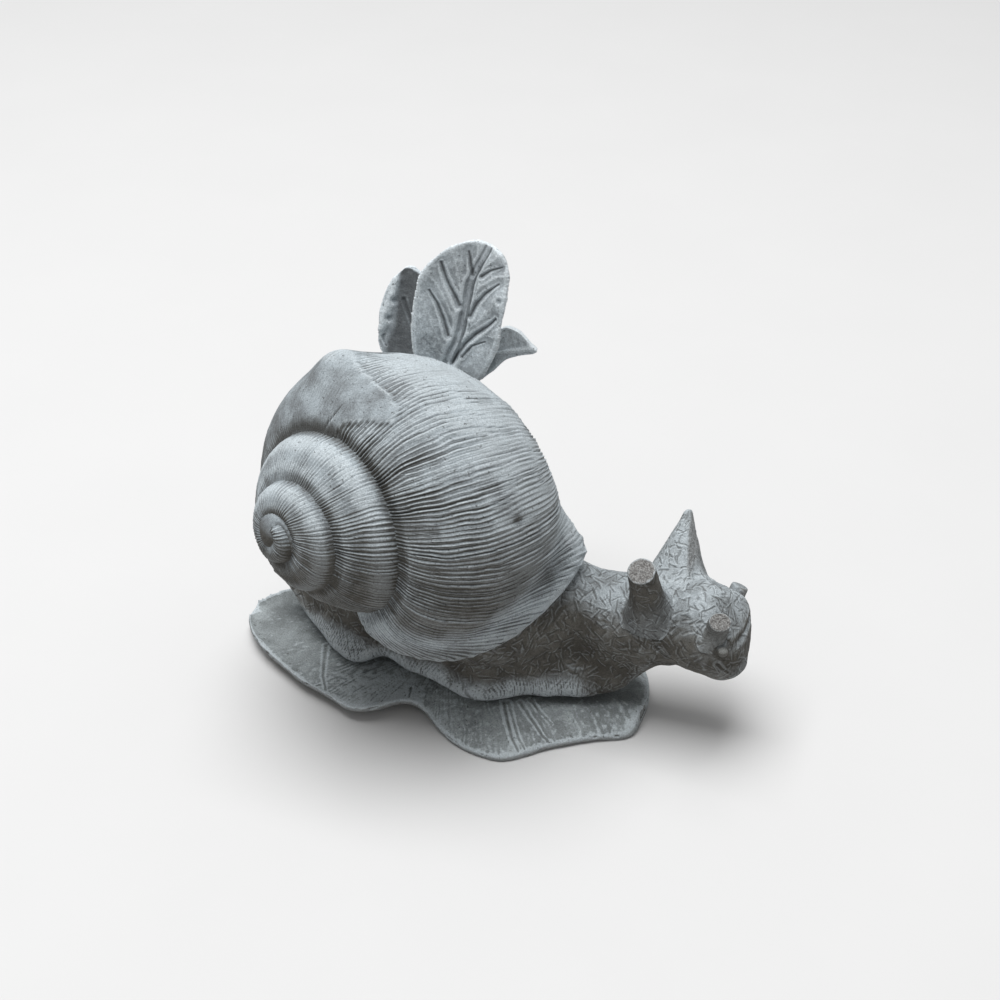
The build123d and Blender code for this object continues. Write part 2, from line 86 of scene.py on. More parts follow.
def roughNoise(points, size, seed, layers=3):
    return sum(lumpNoise(points, size / 2**k, seed + k) / 2**k for k in range(layers)) / 1.4


def fadeIn(value, low, high):
    part = np.clip((value - low) / (high - low), 0, 1)
    return part * part * (3 - 2 * part)


def bell(distance, reach):  # 1 at no distance, and softly down to nothing beyond the reach
    return np.exp(-(distance / reach) ** 2)


def softSpot(points, middle, reach):
    return bell(np.linalg.norm(points - np.array(middle), axis=-1), reach)


def makeMesh(name, points, faces):
    mesh = bpy.data.meshes.new(name)
    points = np.asarray(points, float) * millimetre
    faces = np.asarray(faces, np.int32)
    mesh.vertices.add(len(points))
    mesh.vertices.foreach_set("co", points.astype(np.float32).ravel())
    mesh.loops.add(faces.size)
    mesh.loops.foreach_set("vertex_index", faces.ravel())
    mesh.polygons.add(len(faces))
    mesh.polygons.foreach_set("loop_start", np.arange(0, faces.size, faces.shape[1], dtype=np.int32))
    mesh.update(calc_edges=True)
    mesh.validate()
    piece = bpy.data.objects.new(name, mesh)
    bpy.context.scene.collection.objects.link(piece)
    return piece


def readPoints(piece):
    mesh = piece.data
    points = np.empty(len(mesh.vertices) * 3, np.float32)
    mesh.vertices.foreach_get("co", points)
    normals = np.empty(len(mesh.vertices) * 3, np.float32)
    mesh.vertices.foreach_get("normal", normals)
    return points.reshape(-1, 3).astype(float) / millimetre, normals.reshape(-1, 3).astype(float)


def writePoints(piece, points):
    piece.data.vertices.foreach_set("co", (points * millimetre).astype(np.float32).ravel())
    piece.data.update()


def readEdges(piece):
    edges = np.empty(len(piece.data.edges) * 2, np.int32)
    piece.data.edges.foreach_get("vertices", edges)
    return edges.reshape(-1, 2)


def neighbourMean(values, edges):  # average of each point's neighbours
    total = np.zeros_like(values)
    count = np.bincount(edges.ravel(), minlength=len(values))
    np.add.at(total, edges[:, 0], values[edges[:, 1]])
    np.add.at(total, edges[:, 1], values[edges[:, 0]])
    return total / np.maximum(count, 1).reshape((-1,) + (1,) * (values.ndim - 1))


def relax(piece, rounds, strength=0.5):  # melts the steps of an even skin
    points, _ = readPoints(piece)
    edges = readEdges(piece)
    for _ in range(rounds):
        points += strength * (neighbourMean(points, edges) - points)
    writePoints(piece, points)


def writeMark(piece, name, values):
    layer = piece.data.attributes.new(name, "FLOAT", "POINT")
    layer.data.foreach_set("value", np.asarray(values, np.float32))


def readMark(piece, name):
    values = np.empty(len(piece.data.vertices), np.float32)
    piece.data.attributes[name].data.foreach_get("value", values)
    return values


def treeOf(points):  # finds the nearest of many points
    tree = KDTree(len(points))
    for i, point in enumerate(points):
        tree.insert(point, i)
    tree.balance()
    return tree


def lineDistance(points, line):  # distance of each point from a line of places, and how far along it that is
    nearest, along = np.full(len(points), 1e9), np.zeros(len(points))
    for i, (start, end) in enumerate(zip(line, line[1:])):
        start, way = np.array(start, float), np.array(end, float) - np.array(start, float)
        share = np.clip((points - start) @ way / (way @ way), 0, 1)
        far = np.linalg.norm(points - start - share[:, None] * way, axis=1)
        along = np.where(far < nearest, (i + share) / (len(line) - 1), along)
        nearest = np.minimum(nearest, far)
    return nearest, along


def cutGroove(points, line, width, depth, edge=0.3):  # height of a groove with a raised edge, thinner towards its end
    far, along = lineDistance(points, line)
    wide = width * (1.15 - 0.6 * along)
    return depth * (1.1 - 0.5 * along) * (edge * bell(far - 2.1 * wide, wide) - bell(far, wide))


# How far each point stands proud of what is near, and of what is round it more widely; extraWide adds painted light and
# painted shade to the wide one on the shell, body, base leaf and sprig, and on the shell also the smooth slab's darker
# tone
def markWear(piece, reach=4, broadReach=26, extraNear=0.0, extraWide=0.0):
    points, normals = readPoints(piece)
    edges = readEdges(piece)
    level = points.copy()
    for i in range(broadReach):
        level += 0.6 * (neighbourMean(level, edges) - level)
        if i == reach - 1:
            near = ((points - level) * normals).sum(1)
    wide = ((points - level) * normals).sum(1)
    writeMark(piece, "proud", near + extraNear)
    writeMark(piece, "swell", wide + extraWide)


def skinOver(node, name, cell, rounds=3):  # an even closed skin over a CAD node, ready to be carved
    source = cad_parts[node]
    mesh = source.data.copy()
    mesh.transform(source.matrix_world)
    welded = bmesh.new()
    welded.from_mesh(mesh)
    bmesh.ops.remove_doubles(welded, verts=welded.verts, dist=0.00001)
    welded.to_mesh(mesh)
    welded.free()
    shapeOnly = ("position", ".edge_verts", ".corner_vert", ".corner_edge")
    for attribute in [a.name for a in mesh.attributes if a.name not in shapeOnly]:
        if attribute in mesh.attributes and not mesh.attributes[attribute].is_required:
            mesh.attributes.remove(mesh.attributes[attribute])
    draft = bpy.data.objects.new(name + "Draft", mesh)
    bpy.context.scene.collection.objects.link(draft)
    remesh = draft.modifiers.new("evenSkin", "REMESH")
    remesh.mode = "VOXEL"
    remesh.voxel_size = cell * millimetre
    evaluated = draft.evaluated_get(bpy.context.evaluated_depsgraph_get())
    skin = bpy.data.meshes.new_from_object(evaluated)
    bpy.data.objects.remove(draft)
    bpy.data.meshes.remove(mesh)
    skin.materials.clear()
    piece = bpy.data.objects.new(name, skin)
    skin.name = name
    bpy.context.scene.collection.objects.link(piece)
    relax(piece, rounds)
    return piece


def thinHidden(piece, hidden, mostTriangles):  # merges faces where nothing is seen, then a few everywhere
    for onlyHidden in (True, False):
        count = sum(len(p.vertices) - 2 for p in piece.data.polygons)
        if count <= mostTriangles:
            return
        thinning = piece.modifiers.new("thinning", "DECIMATE")
        thinning.ratio = mostTriangles / count
        if onlyHidden:
            group = piece.vertex_groups.new(name="hidden")
            group.add([int(i) for i in np.flatnonzero(hidden)], 1.0, "REPLACE")
            thinning.vertex_group = "hidden"
            thinning.vertex_group_factor = 10
        evaluated = piece.evaluated_get(bpy.context.evaluated_depsgraph_get())
        thinned = bpy.data.meshes.new_from_object(evaluated)
        piece.modifiers.clear()
        piece.vertex_groups.clear()
        old = piece.data
        piece.data = thinned
        bpy.data.meshes.remove(old)
        thinned.name = piece.name


def finishPiece(piece, node, material):
    piece.data.materials.clear()
    piece.data.materials.append(material)
    piece.data.polygons.foreach_set("use_smooth", np.ones(len(piece.data.polygons), bool))
    piece.data.polygons.foreach_set("material_index", np.zeros(len(piece.data.polygons), np.int32))
    piece.data.update()
    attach(piece, "root")
    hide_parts(node)
    print(piece.name, "triangles", sum(len(p.vertices) - 2 for p in piece.data.polygons))


# Materials: shared effects as groups, then one stone for each casting

def newGroup(name, **inputs):  # a group with one plain number for each input
    group = bpy.data.node_groups.new(name, "ShaderNodeTree")
    for label, value in inputs.items():
        socket = group.interface.new_socket(name=label, in_out="INPUT", socket_type="NodeSocketFloat")
        socket.default_value = value
    return group, group.nodes.new("NodeGroupInput").outputs


def putOut(group, **values):  # wires values to the group's outputs
    for label in values:
        group.interface.new_socket(name=label, in_out="OUTPUT", socket_type="NodeSocketFloat")
    result = group.nodes.new("NodeGroupOutput")
    for label, value in values.items():
        group.links.new(value, result.inputs[label])
    return group


def addNode(tree, kind, values=None, **settings):
    node = tree.nodes.new(kind)
    for key, value in settings.items():
        setattr(node, key, value)
    for key, value in (values or {}).items():
        node.inputs[key].default_value = value
    return node


def calculate(tree, operation, first, second=None, third=None, clamp=False):  # one Math node, wired or fixed
    node = addNode(tree, "ShaderNodeMath", operation=operation, use_clamp=clamp)
    for i, value in enumerate((first, second, third)):
        if value is None:
            continue
        if isinstance(value, (int, float)):
            node.inputs[i].default_value = value
        else:
            tree.links.new(value, node.inputs[i])
    return node.outputs[0]


def multiply(tree, first, second, clamp=False):
    return calculate(tree, "MULTIPLY", first, second, clamp=clamp)


def oneMinus(tree, value):
    return calculate(tree, "SUBTRACT", 1.0, value)


def combine(tree, operation, first, second=None):  # one Vector Math node, wired or fixed
    node = addNode(tree, "ShaderNodeVectorMath", operation=operation)
    for i, value in enumerate((first, second)):
        if isinstance(value, tuple):
            node.inputs[i].default_value = value
        elif value is not None:
            tree.links.new(value, node.inputs[i])
    return node.outputs["Value" if operation in ("DOT_PRODUCT", "LENGTH") else "Vector"]


def remap(tree, value, low, high, newLow=0.0, newHigh=1.0):
    node = addNode(tree, "ShaderNodeMapRange", interpolation_type="SMOOTHSTEP")
    tree.links.new(value, node.inputs["Value"])
    for label, number in (("From Min", low), ("From Max", high), ("To Min", newLow), ("To Max", newHigh)):
        if isinstance(number, (int, float)):
            node.inputs[label].default_value = number
        else:
            tree.links.new(number, node.inputs[label])
    return node.outputs[0]


def blendColour(tree, amount, first, second, mode="MIX"):
    node = addNode(tree, "ShaderNodeMix", data_type="RGBA", blend_type=mode)
    for socket, value in ((node.inputs[0], amount), (node.inputs[6], first), (node.inputs[7], second)):
        if isinstance(value, (int, float)):
            socket.default_value = value
        elif isinstance(value, tuple):
            socket.default_value = (*value, 1.0)
        else:
            tree.links.new(value, socket)
    return node.outputs[2]


def readAttribute(tree, name):  # a mark that the piece carries on its points
    return addNode(tree, "ShaderNodeAttribute", attribute_name=name).outputs["Fac"]


def addNoise(tree, place, scale, detail, roughness=0.5):
    noise = addNode(tree, "ShaderNodeTexNoise", {"Detail": detail, "Roughness": roughness})
    tree.links.new(place, noise.inputs["Vector"])
    if isinstance(scale, float):
        noise.inputs["Scale"].default_value = scale
    else:
        tree.links.new(scale, noise.inputs["Scale"])
    return noise


def makeStoneGrain():  # sand grain, dark pores, pale grit and slow mottling of cast stone
    group, given = newGroup("stoneGrain", grainSize=1100.0, mottleSize=55.0, poreShare=0.2, gritShare=0.15)
    place = addNode(group, "ShaderNodeTexCoord").outputs["Object"]
    mottle = addNoise(group, place, given["mottleSize"], 5.0, 0.62)
    grain = addNoise(group, place, given["grainSize"], 3.0, 0.7)
    pores = addNoise(group, place, multiply(group, given["grainSize"], 0.42), 2.0)
    poreEdge = calculate(group, "SUBTRACT", 0.72, multiply(group, given["poreShare"], 0.3))
    poreMask = remap(group, pores.outputs["Fac"], poreEdge, calculate(group, "ADD", poreEdge, 0.05))
    gritEdge = calculate(group, "SUBTRACT", 0.75, multiply(group, given["gritShare"], 0.3))
    gritMask = remap(group, grain.outputs["Fac"], gritEdge, calculate(group, "ADD", gritEdge, 0.06))
    rough = calculate(group, "SUBTRACT", grain.outputs["Fac"], multiply(group, poreMask, 0.8))
    return putOut(group, mottle=mottle.outputs["Fac"], grain=grain.outputs["Fac"], pores=poreMask, grit=gritMask,
                  height=rough)


def makeWeathering():  # masks for paler heights and darker hollows, partly worn stone and grime and partly painted light and painted shade from the wide mark, and how far each surface faces up, which sets the painted shade on surfaces facing down
    group, given = newGroup("weathering", rubStart=0.02, rubFull=0.16, dirtStart=0.01, dirtFull=0.22,
                            broadShare=0.35, breakUp=0.5, upLow=-0.3, upHigh=0.78)
    broad = multiply(group, readAttribute(group, "swell"), given["broadShare"])
    height = calculate(group, "ADD", readAttribute(group, "proud"), broad)
    patch = addNoise(group, addNode(group, "ShaderNodeTexCoord").outputs["Object"], 260.0, 4.0, 0.65)
    patchy = calculate(group, "MULTIPLY_ADD", patch.outputs["Fac"], given["breakUp"], 1.0)
    raised = multiply(group, height, patchy)
    sunk = multiply(group, multiply(group, height, -1.0), patchy)
    rubbed = remap(group, raised, given["rubStart"], given["rubFull"])
    dirty = remap(group, sunk, given["dirtStart"], given["dirtFull"])
    facing = addNode(group, "ShaderNodeSeparateXYZ")
    group.links.new(addNode(group, "ShaderNodeNewGeometry").outputs["Normal"], facing.inputs[0])
    up = remap(group, facing.outputs["Z"], given["upLow"], given["upHigh"])
    return putOut(group, rubbed=rubbed, dirty=dirty, facingUp=up)


def makeToolMarks():  # short straight strokes in every direction, as a modelling tool leaves them
    group, given = newGroup("toolMarks", spread=125.0, halfLength=0.6, halfWidth=0.085)
    place = combine(group, "MULTIPLY", addNode(group, "ShaderNodeTexCoord").outputs["Object"], given["spread"])
    normal = addNode(group, "ShaderNodeNewGeometry").outputs["Normal"]
    bend = combine(group, "MULTIPLY", addNoise(group, place, 0.9, 1.0).outputs["Color"], (0.35, 0.35, 0.35))
    place = combine(group, "ADD", place, bend)
    total = None
    for shift in ((0.0, 0.0, 0.0), (3.7, 1.9, 5.3), (8.1, 6.4, 2.2)):
        moved = combine(group, "ADD", place, shift)
        cells = addNode(group, "ShaderNodeTexVoronoi", {"Scale": 1.0, "Randomness": 1.0})
        group.links.new(moved, cells.inputs["Vector"])
        offset = combine(group, "SUBTRACT", moved, cells.outputs["Position"])
        lean = combine(group, "SUBTRACT", cells.outputs["Color"], (0.5, 0.5, 0.5))
        way = combine(group, "NORMALIZE", combine(group, "CROSS_PRODUCT", lean, normal))
        aside = combine(group, "DOT_PRODUCT", offset, way)
        inner = multiply(group, given["halfWidth"], 0.15)
        groove = remap(group, calculate(group, "ABSOLUTE", aside), given["halfWidth"], inner)
        beside = calculate(group, "SUBTRACT", aside, multiply(group, given["halfWidth"], 1.7))
        ridge = remap(group, calculate(group, "ABSOLUTE", beside), given["halfWidth"], inner)
        near = remap(group, combine(group, "LENGTH", offset), given["halfLength"],
                     multiply(group, given["halfLength"], 0.75))
        mark = multiply(group, calculate(group, "SUBTRACT", multiply(group, ridge, 0.75), groove), near)
        total = mark if total is None else calculate(group, "ADD", total, mark)
    kept = calculate(group, "MINIMUM", calculate(group, "MAXIMUM", total, -1.2), 1.0)
    return putOut(group, marks=kept)


stoneGrain, weathering, toolMarks = makeStoneGrain(), makeWeathering(), makeToolMarks()


def makeStone(name, look):
    material = bpy.data.materials.new(name)
    material.use_nodes = True
    tree = material.node_tree
    shader = tree.nodes["Principled BSDF"]
    grain = addNode(tree, "ShaderNodeGroup", node_tree=stoneGrain)
    wear = addNode(tree, "ShaderNodeGroup", node_tree=weathering)
    marks = addNode(tree, "ShaderNodeGroup", node_tree=toolMarks)
    for group in (grain, wear):
        for label in group.inputs.keys():
            if label in look:
                group.inputs[label].default_value = look[label]
    mottle, sand = grain.outputs["mottle"], grain.outputs["grain"]
    # painted shade: surfaces facing down are darkened towards the under colour, less where the painted-light mark lifts
    # it
    colour = blendColour(tree, remap(tree, mottle, 0.36, 0.64), look["dark"], look["light"])
    shade = remap(tree, wear.outputs["facingUp"], 0.0, 1.0, look["underShade"], 0.0)
    shade = multiply(tree, shade, oneMinus(tree, readAttribute(tree, "washed")))
    under = blendColour(tree, remap(tree, mottle, 0.35, 0.65), look["under"], look["underPale"])
    colour = blendColour(tree, shade, colour, under)
    # broken faces, then a grime colour in the hollows and a pale colour on the heights, which also paint shade and
    # light where the wide mark carries painted light and painted shade
    speckle = blendColour(tree, remap(tree, sand, 0.35, 0.65), look["brokenDark"], look["brokenLight"])
    colour = blendColour(tree, readAttribute(tree, "broken"), colour, speckle)
    colour = blendColour(tree, multiply(tree, wear.outputs["dirty"], look["dirtAmount"]), colour, look["dirt"])
    # the pale heights are dimmed where the painted shade lies
    exposed = oneMinus(tree, multiply(tree, shade, look["shelter"]))
    rubbed = multiply(tree, multiply(tree, wear.outputs["rubbed"], look["rubAmount"]), exposed)
    colour = blendColour(tree, rubbed, colour, look["rub"])
    # tool marks, each a dark cut with a pale edge
    marked = multiply(tree, marks.outputs["marks"], readAttribute(tree, "tooled"))
    colour = blendColour(tree, multiply(tree, marked, -look["markDark"], clamp=True), colour, look["dirt"])
    # the pale edges of the tool marks are dimmed under the painted shade too
    softened = oneMinus(tree, multiply(tree, shade, look["markShelter"]))
    lifted = multiply(tree, multiply(tree, marked, look["markLight"], clamp=True), softened)
    colour = blendColour(tree, lifted, colour, look["rub"])
    # sand grain, grit and pores
    fine = remap(tree, sand, 0.3, 0.7, 1.0 - look["grainAmount"], 1.0 + look["grainAmount"])
    fineColour = addNode(tree, "ShaderNodeCombineColor")
    for label in ("Red", "Green", "Blue"):
        tree.links.new(fine, fineColour.inputs[label])
    colour = blendColour(tree, 1.0, colour, fineColour.outputs[0], "MULTIPLY")
    colour = blendColour(tree, multiply(tree, grain.outputs["grit"], look["gritAmount"]), colour, look["grit"])
    colour = blendColour(tree, multiply(tree, grain.outputs["pores"], look["poreAmount"]), colour, look["dirt"])
    tree.links.new(colour, shader.inputs["Base Color"])
    smoothed = remap(tree, wear.outputs["rubbed"], 0.0, 1.0, look["roughness"], look["roughness"] - 0.1)
    tree.links.new(smoothed, shader.inputs["Roughness"])
    shader.inputs["Specular IOR Level"].default_value = 0.3
    bump = addNode(tree, "ShaderNodeBump", {"Strength": look["bumpStrength"], "Distance": look["bumpDepth"]})
    height = calculate(tree, "MULTIPLY_ADD", marked, look["markDepth"], grain.outputs["height"])
    tree.links.new(height, bump.inputs["Height"])
    tree.links.new(bump.outputs["Normal"], shader.inputs["Normal"])
    return material


# under, underPale and underShade give the painted shade on surfaces facing down; the two dimming values set how much
# that shade dims the pale heights and mark edges
stoneLook = {
    "light": (0.330, 0.372, 0.398), "dark": (0.185, 0.203, 0.215), "under": (0.088, 0.076, 0.060),
    "underShade": 0.85, "dirt": (0.050, 0.048, 0.043), "dirtAmount": 0.8, "rub": (0.530, 0.585, 0.615),
    "rubAmount": 0.7, "grit": (0.62, 0.65, 0.66), "gritAmount": 0.45, "poreAmount": 0.55, "grainAmount": 0.22,
    "brokenLight": (0.25, 0.25, 0.245), "brokenDark": (0.115, 0.11, 0.105), "roughness": 0.86,
    "bumpStrength": 0.55, "bumpDepth": 0.0009, "markDark": 0.5, "markLight": 0.32, "markDepth": 0.9,
    "underPale": (0.105, 0.098, 0.085), "shelter": 0.72, "markShelter": 0.45,
}
shellStone = makeStone("shellStone", {
    **stoneLook, "under": (0.052, 0.047, 0.038), "underPale": (0.085, 0.080, 0.070), "underShade": 0.97,
    "upLow": -0.1, "upHigh": 0.75, "rubStart": 0.04, "rubFull": 0.5,
    "dirtStart": 0.05, "dirtFull": 0.6, "dirtAmount": 0.7, "broadShare": 0.2})
bodyStone = makeStone("bodyStone", {
    **stoneLook, "light": (0.310, 0.344, 0.364), "dark": (0.175, 0.190, 0.197), "under": (0.050, 0.044, 0.035),
    "underPale": (0.095, 0.088, 0.074), "underShade": 0.95, "upLow": 0.08, "upHigh": 0.98,
    "dirtStart": 0.03, "dirtFull": 0.4, "dirtAmount": 0.65, "rubStart": 0.05, "rubFull": 0.4, "rubAmount": 0.55})
leafStone = makeStone("leafStone", {
    **stoneLook, "light": (0.300, 0.330, 0.338), "dark": (0.185, 0.203, 0.207), "dirtStart": 0.05, "dirtFull": 0.6})
# a much lighter copy of the stone: painted light that brightens the sprig, with little painted shade underneath
sprigStone = makeStone("sprigStone", {
    **stoneLook, "light": (0.580, 0.640, 0.680), "dark": (0.340, 0.375, 0.400), "underShade": 0.3,
    "rub": (0.78, 0.84, 0.87), "under": (0.11, 0.105, 0.10), "dirt": (0.075, 0.078, 0.08),
    "dirtStart": 0.06, "dirtFull": 0.8})
eyeStone = makeStone("eyeStone", {
    **stoneLook, "light": (0.23, 0.235, 0.225), "dark": (0.13, 0.13, 0.125), "under": (0.05, 0.045, 0.038),
    "underPale": (0.07, 0.065, 0.055), "upLow": 0.1, "upHigh": 0.7, "roughness": 0.5, "bumpDepth": 0.0003})
print("stone finishes made")


# The shell: a tube that winds down from the apex, drawn column by column along its growth lines

shell = {
    "apex": (-74.3, -92.0, 150.9), "axisHeading": 239.9, "axisRise": 7.9, "startAngle": 30.4,
    "seamRadius": 12.65, "seamPower": 1.356, "spireRadius": 49.0, "spireDepth": 33.1, "spirePower": 1.571,
    "firstTurn": 1.0, "lastTurn": 4.279, "tuck": 9.0, "baseAngle": 125.0, "coreDepth": 152.0, "coreRadius": 3.0,
    "lipFlare": 11.0, "lipTurn": 0.045, "overrun": 0.13, "lipLean": 33.0, "baseFlare": 0.8, "baseDrop": 1.2,
    "domeRadius": 18.5, "domeDepth": 17.5, "columnStep": 0.54, "upperRows": 26, "lowerRows": 20,
    "lipShares": ((0.0, 0.55), (1.1, 0.58), (1.25, 0.62), (1.38, 0.82), (1.48, 1.03), (1.54, 0.8), (1.6, 0.42),
                  (1.66, 0.2), (1.75, 0.05), (3.0, 0.0)),
    "growthSpacing": 2.9, "growthDepth": 0.6, "creaseDepth": 1.5, "creaseWidth": 3.0, "shoulder": 1.0,
    "smoothEdge": ((0.0, 3.91), (0.35, 3.95), (0.54, 3.985), (0.67, 3.969), (0.72, 3.956), (0.76, 3.921), (0.84, 3.889),
                   (1.0, 3.87), (1.4, 3.86), (3.0, 3.85)),
    "smoothStart": 3.62, "smoothHeight": 0.8, "slabCorner": ((-66.0, -8.0, 219.0), 15.0, 6.0),
    "washedBand": (38.0, 16.0), "washedHeights": (55.0, 100.0), "chip": (-24.7, -80.8, 179.0),
    "scratches": (((3.902, 0.17), (3.911, 0.27), (3.915, 0.39)), ((4.115, 1.09), (4.125, 1.11), (4.135, 1.13))),
    "scratchScale": (570, 60), "scratchWidth": 0.7,
    "shares": (
        (0.000, 1.13, 0.750, 1.000, 1.000),
        (2.900, 1.12, 0.750, 1.000, 1.150),
        (3.200, 1.05, 0.730, 0.900, 1.150),
        (3.450, 0.90, 0.690, 0.757, 1.150),
        (3.700, 1.08, 0.592, 0.566, 1.070),
        (3.950, 1.065, 0.539, 0.482, 0.930),
        (4.286, 1.080, 0.448, 0.606, 0.790),
    ),
}


def seamPlace(turn):
    radius = shell["seamRadius"] * np.maximum(turn, 0) ** shell["seamPower"]
    return radius, shell["spireDepth"] * (radius / shell["spireRadius"]) ** shell["spirePower"]


def shellAxes():
    heading, rise = math.radians(shell["axisHeading"]), math.radians(shell["axisRise"])
    out = np.array((math.cos(heading) * math.cos(rise), math.sin(heading) * math.cos(rise), math.sin(rise)))
    up = np.array((0.0, 0.0, 1.0)) - out * out[2]
    up /= np.linalg.norm(up)
    return np.array(shell["apex"]), -out, up, np.cross(up, out)


def whorlForm(turn):
    winding = shell["seamRadius"] * turn ** shell["seamPower"]
    reach, width, above, below = smoothTable(shell["shares"], turn) * winding
    middle = reach - width
    seamR, seamS = seamPlace(turn - 1)
    lift = np.clip((np.maximum(seamR, shell["coreRadius"]) - middle) / width, -0.999, 0.999)
    depth = seamS + above * np.sqrt(1 - lift**2)
    return middle, width, depth, above, below, np.arcsin(lift)


def whorlPoint(turn, row):  # radius and depth; row runs 0 to 1 from the seam to the widest place, then to 2 and 3
    middle, width, depth, above, below, first = whorlForm(turn)
    first = first - math.radians(shell["tuck"])
    angle = first + (math.pi / 2 - first) * np.clip(row, 0, 1)
    radius, fall = middle + width * np.sin(angle), depth - above * np.cos(angle)
    toCore = np.arccos(np.clip((shell["coreRadius"] - middle) / width, -1, 1))
    last = np.minimum(toCore, math.radians(shell["baseAngle"]))
    under = last * np.clip(row - 1, 0, 1)
    radius = np.where(row > 1, middle + width * np.cos(under), radius)
    fall = np.where(row > 1, depth + below * np.sin(under), fall)
    inward = np.clip(row - 2, 0, 1)
    radius = radius + (shell["coreRadius"] - radius) * inward
    fall = fall + (shell["coreDepth"] - fall) * inward
    return radius, fall, middle, width, depth, below


def flaredPoint(turn, row):  # the whorl's point with the flare that it has near its rim
    radius, fall, middle, width, depth, below = whorlPoint(turn, row)
    lean = math.tan(math.radians(shell["lipLean"]))
    lag = np.arctan2((fall - depth) * lean, radius) / (2 * math.pi)
    flare = np.clip((turn - shell["lastTurn"] + lag + shell["lipTurn"]) / shell["lipTurn"], 0, 1) ** 2
    flare = flare * shell["lipFlare"] * smoothTable(shell["lipShares"], row)[0]
    out = np.maximum((radius - middle) / width, 0)
    low = np.clip((fall - depth) / below, 0, 1.2) * np.clip(3 - row, 0, 1)
    return (radius + flare * (out**2 + shell["baseFlare"] * low), fall + flare * shell["baseDrop"] * low,
            middle, width, depth, below)


def lipTurns(rows):  # the turn at which each row meets the leaning plane of the mouth
    lean = math.tan(math.radians(shell["lipLean"]))
    level = whorlForm(np.array(shell["lastTurn"]))[2]
    rim = np.full(rows.shape, shell["lastTurn"])
    for _ in range(16):
        radius, fall = flaredPoint(rim, rows)[:2]
        lag = np.arctan2((fall - level) * lean, radius) / (2 * math.pi)
        rim = 0.5 * rim + 0.5 * (shell["lastTurn"] - np.clip(lag, -0.12, 0.2))
    return rim


def growthLines(along, across, fade):  # height of the growth lines; along and across are lengths on the shell
    place = np.stack([along, across], -1)
    drift = 2.4 * lumpNoise(place, 34.0, 3) + 0.9 * lumpNoise(place, 11.0, 4) + 0.3 * lumpNoise(place, 4.0, 5)
    total = np.zeros(along.shape)
    for spacing, depth, seed in ((shell["growthSpacing"], 1.0, 11), (shell["growthSpacing"] * 0.47, 0.4, 12)):
        at = (along + drift) / spacing
        cell = np.floor(at)
        part = at - cell
        strong = 0.5 + 0.8 * randomOf(cell, seed)
        width = 0.15 + 0.1 * randomOf(cell, seed + 1)
        centre = 0.4 + 0.2 * (randomOf(cell, seed + 2) - 0.5)
        line = np.stack([cell * 7.31 + seed, across / 22.0], -1)
        strong = strong * np.clip(0.85 + 0.65 * lumpNoise(line, 1.0, seed + 3), 0.2, 1.4)
        total -= depth * strong * bell(part - centre, width)
        total += 0.75 * depth * strong * bell(part - centre - 1.8 * width, 0.9 * width)
    ribs = 0.45 * lumpNoise(np.stack([(along + 2 * drift) / 8.0, across / 90.0], -1), 1.0, 15)
    return shell["growthDepth"] * (total + ribs) * fade


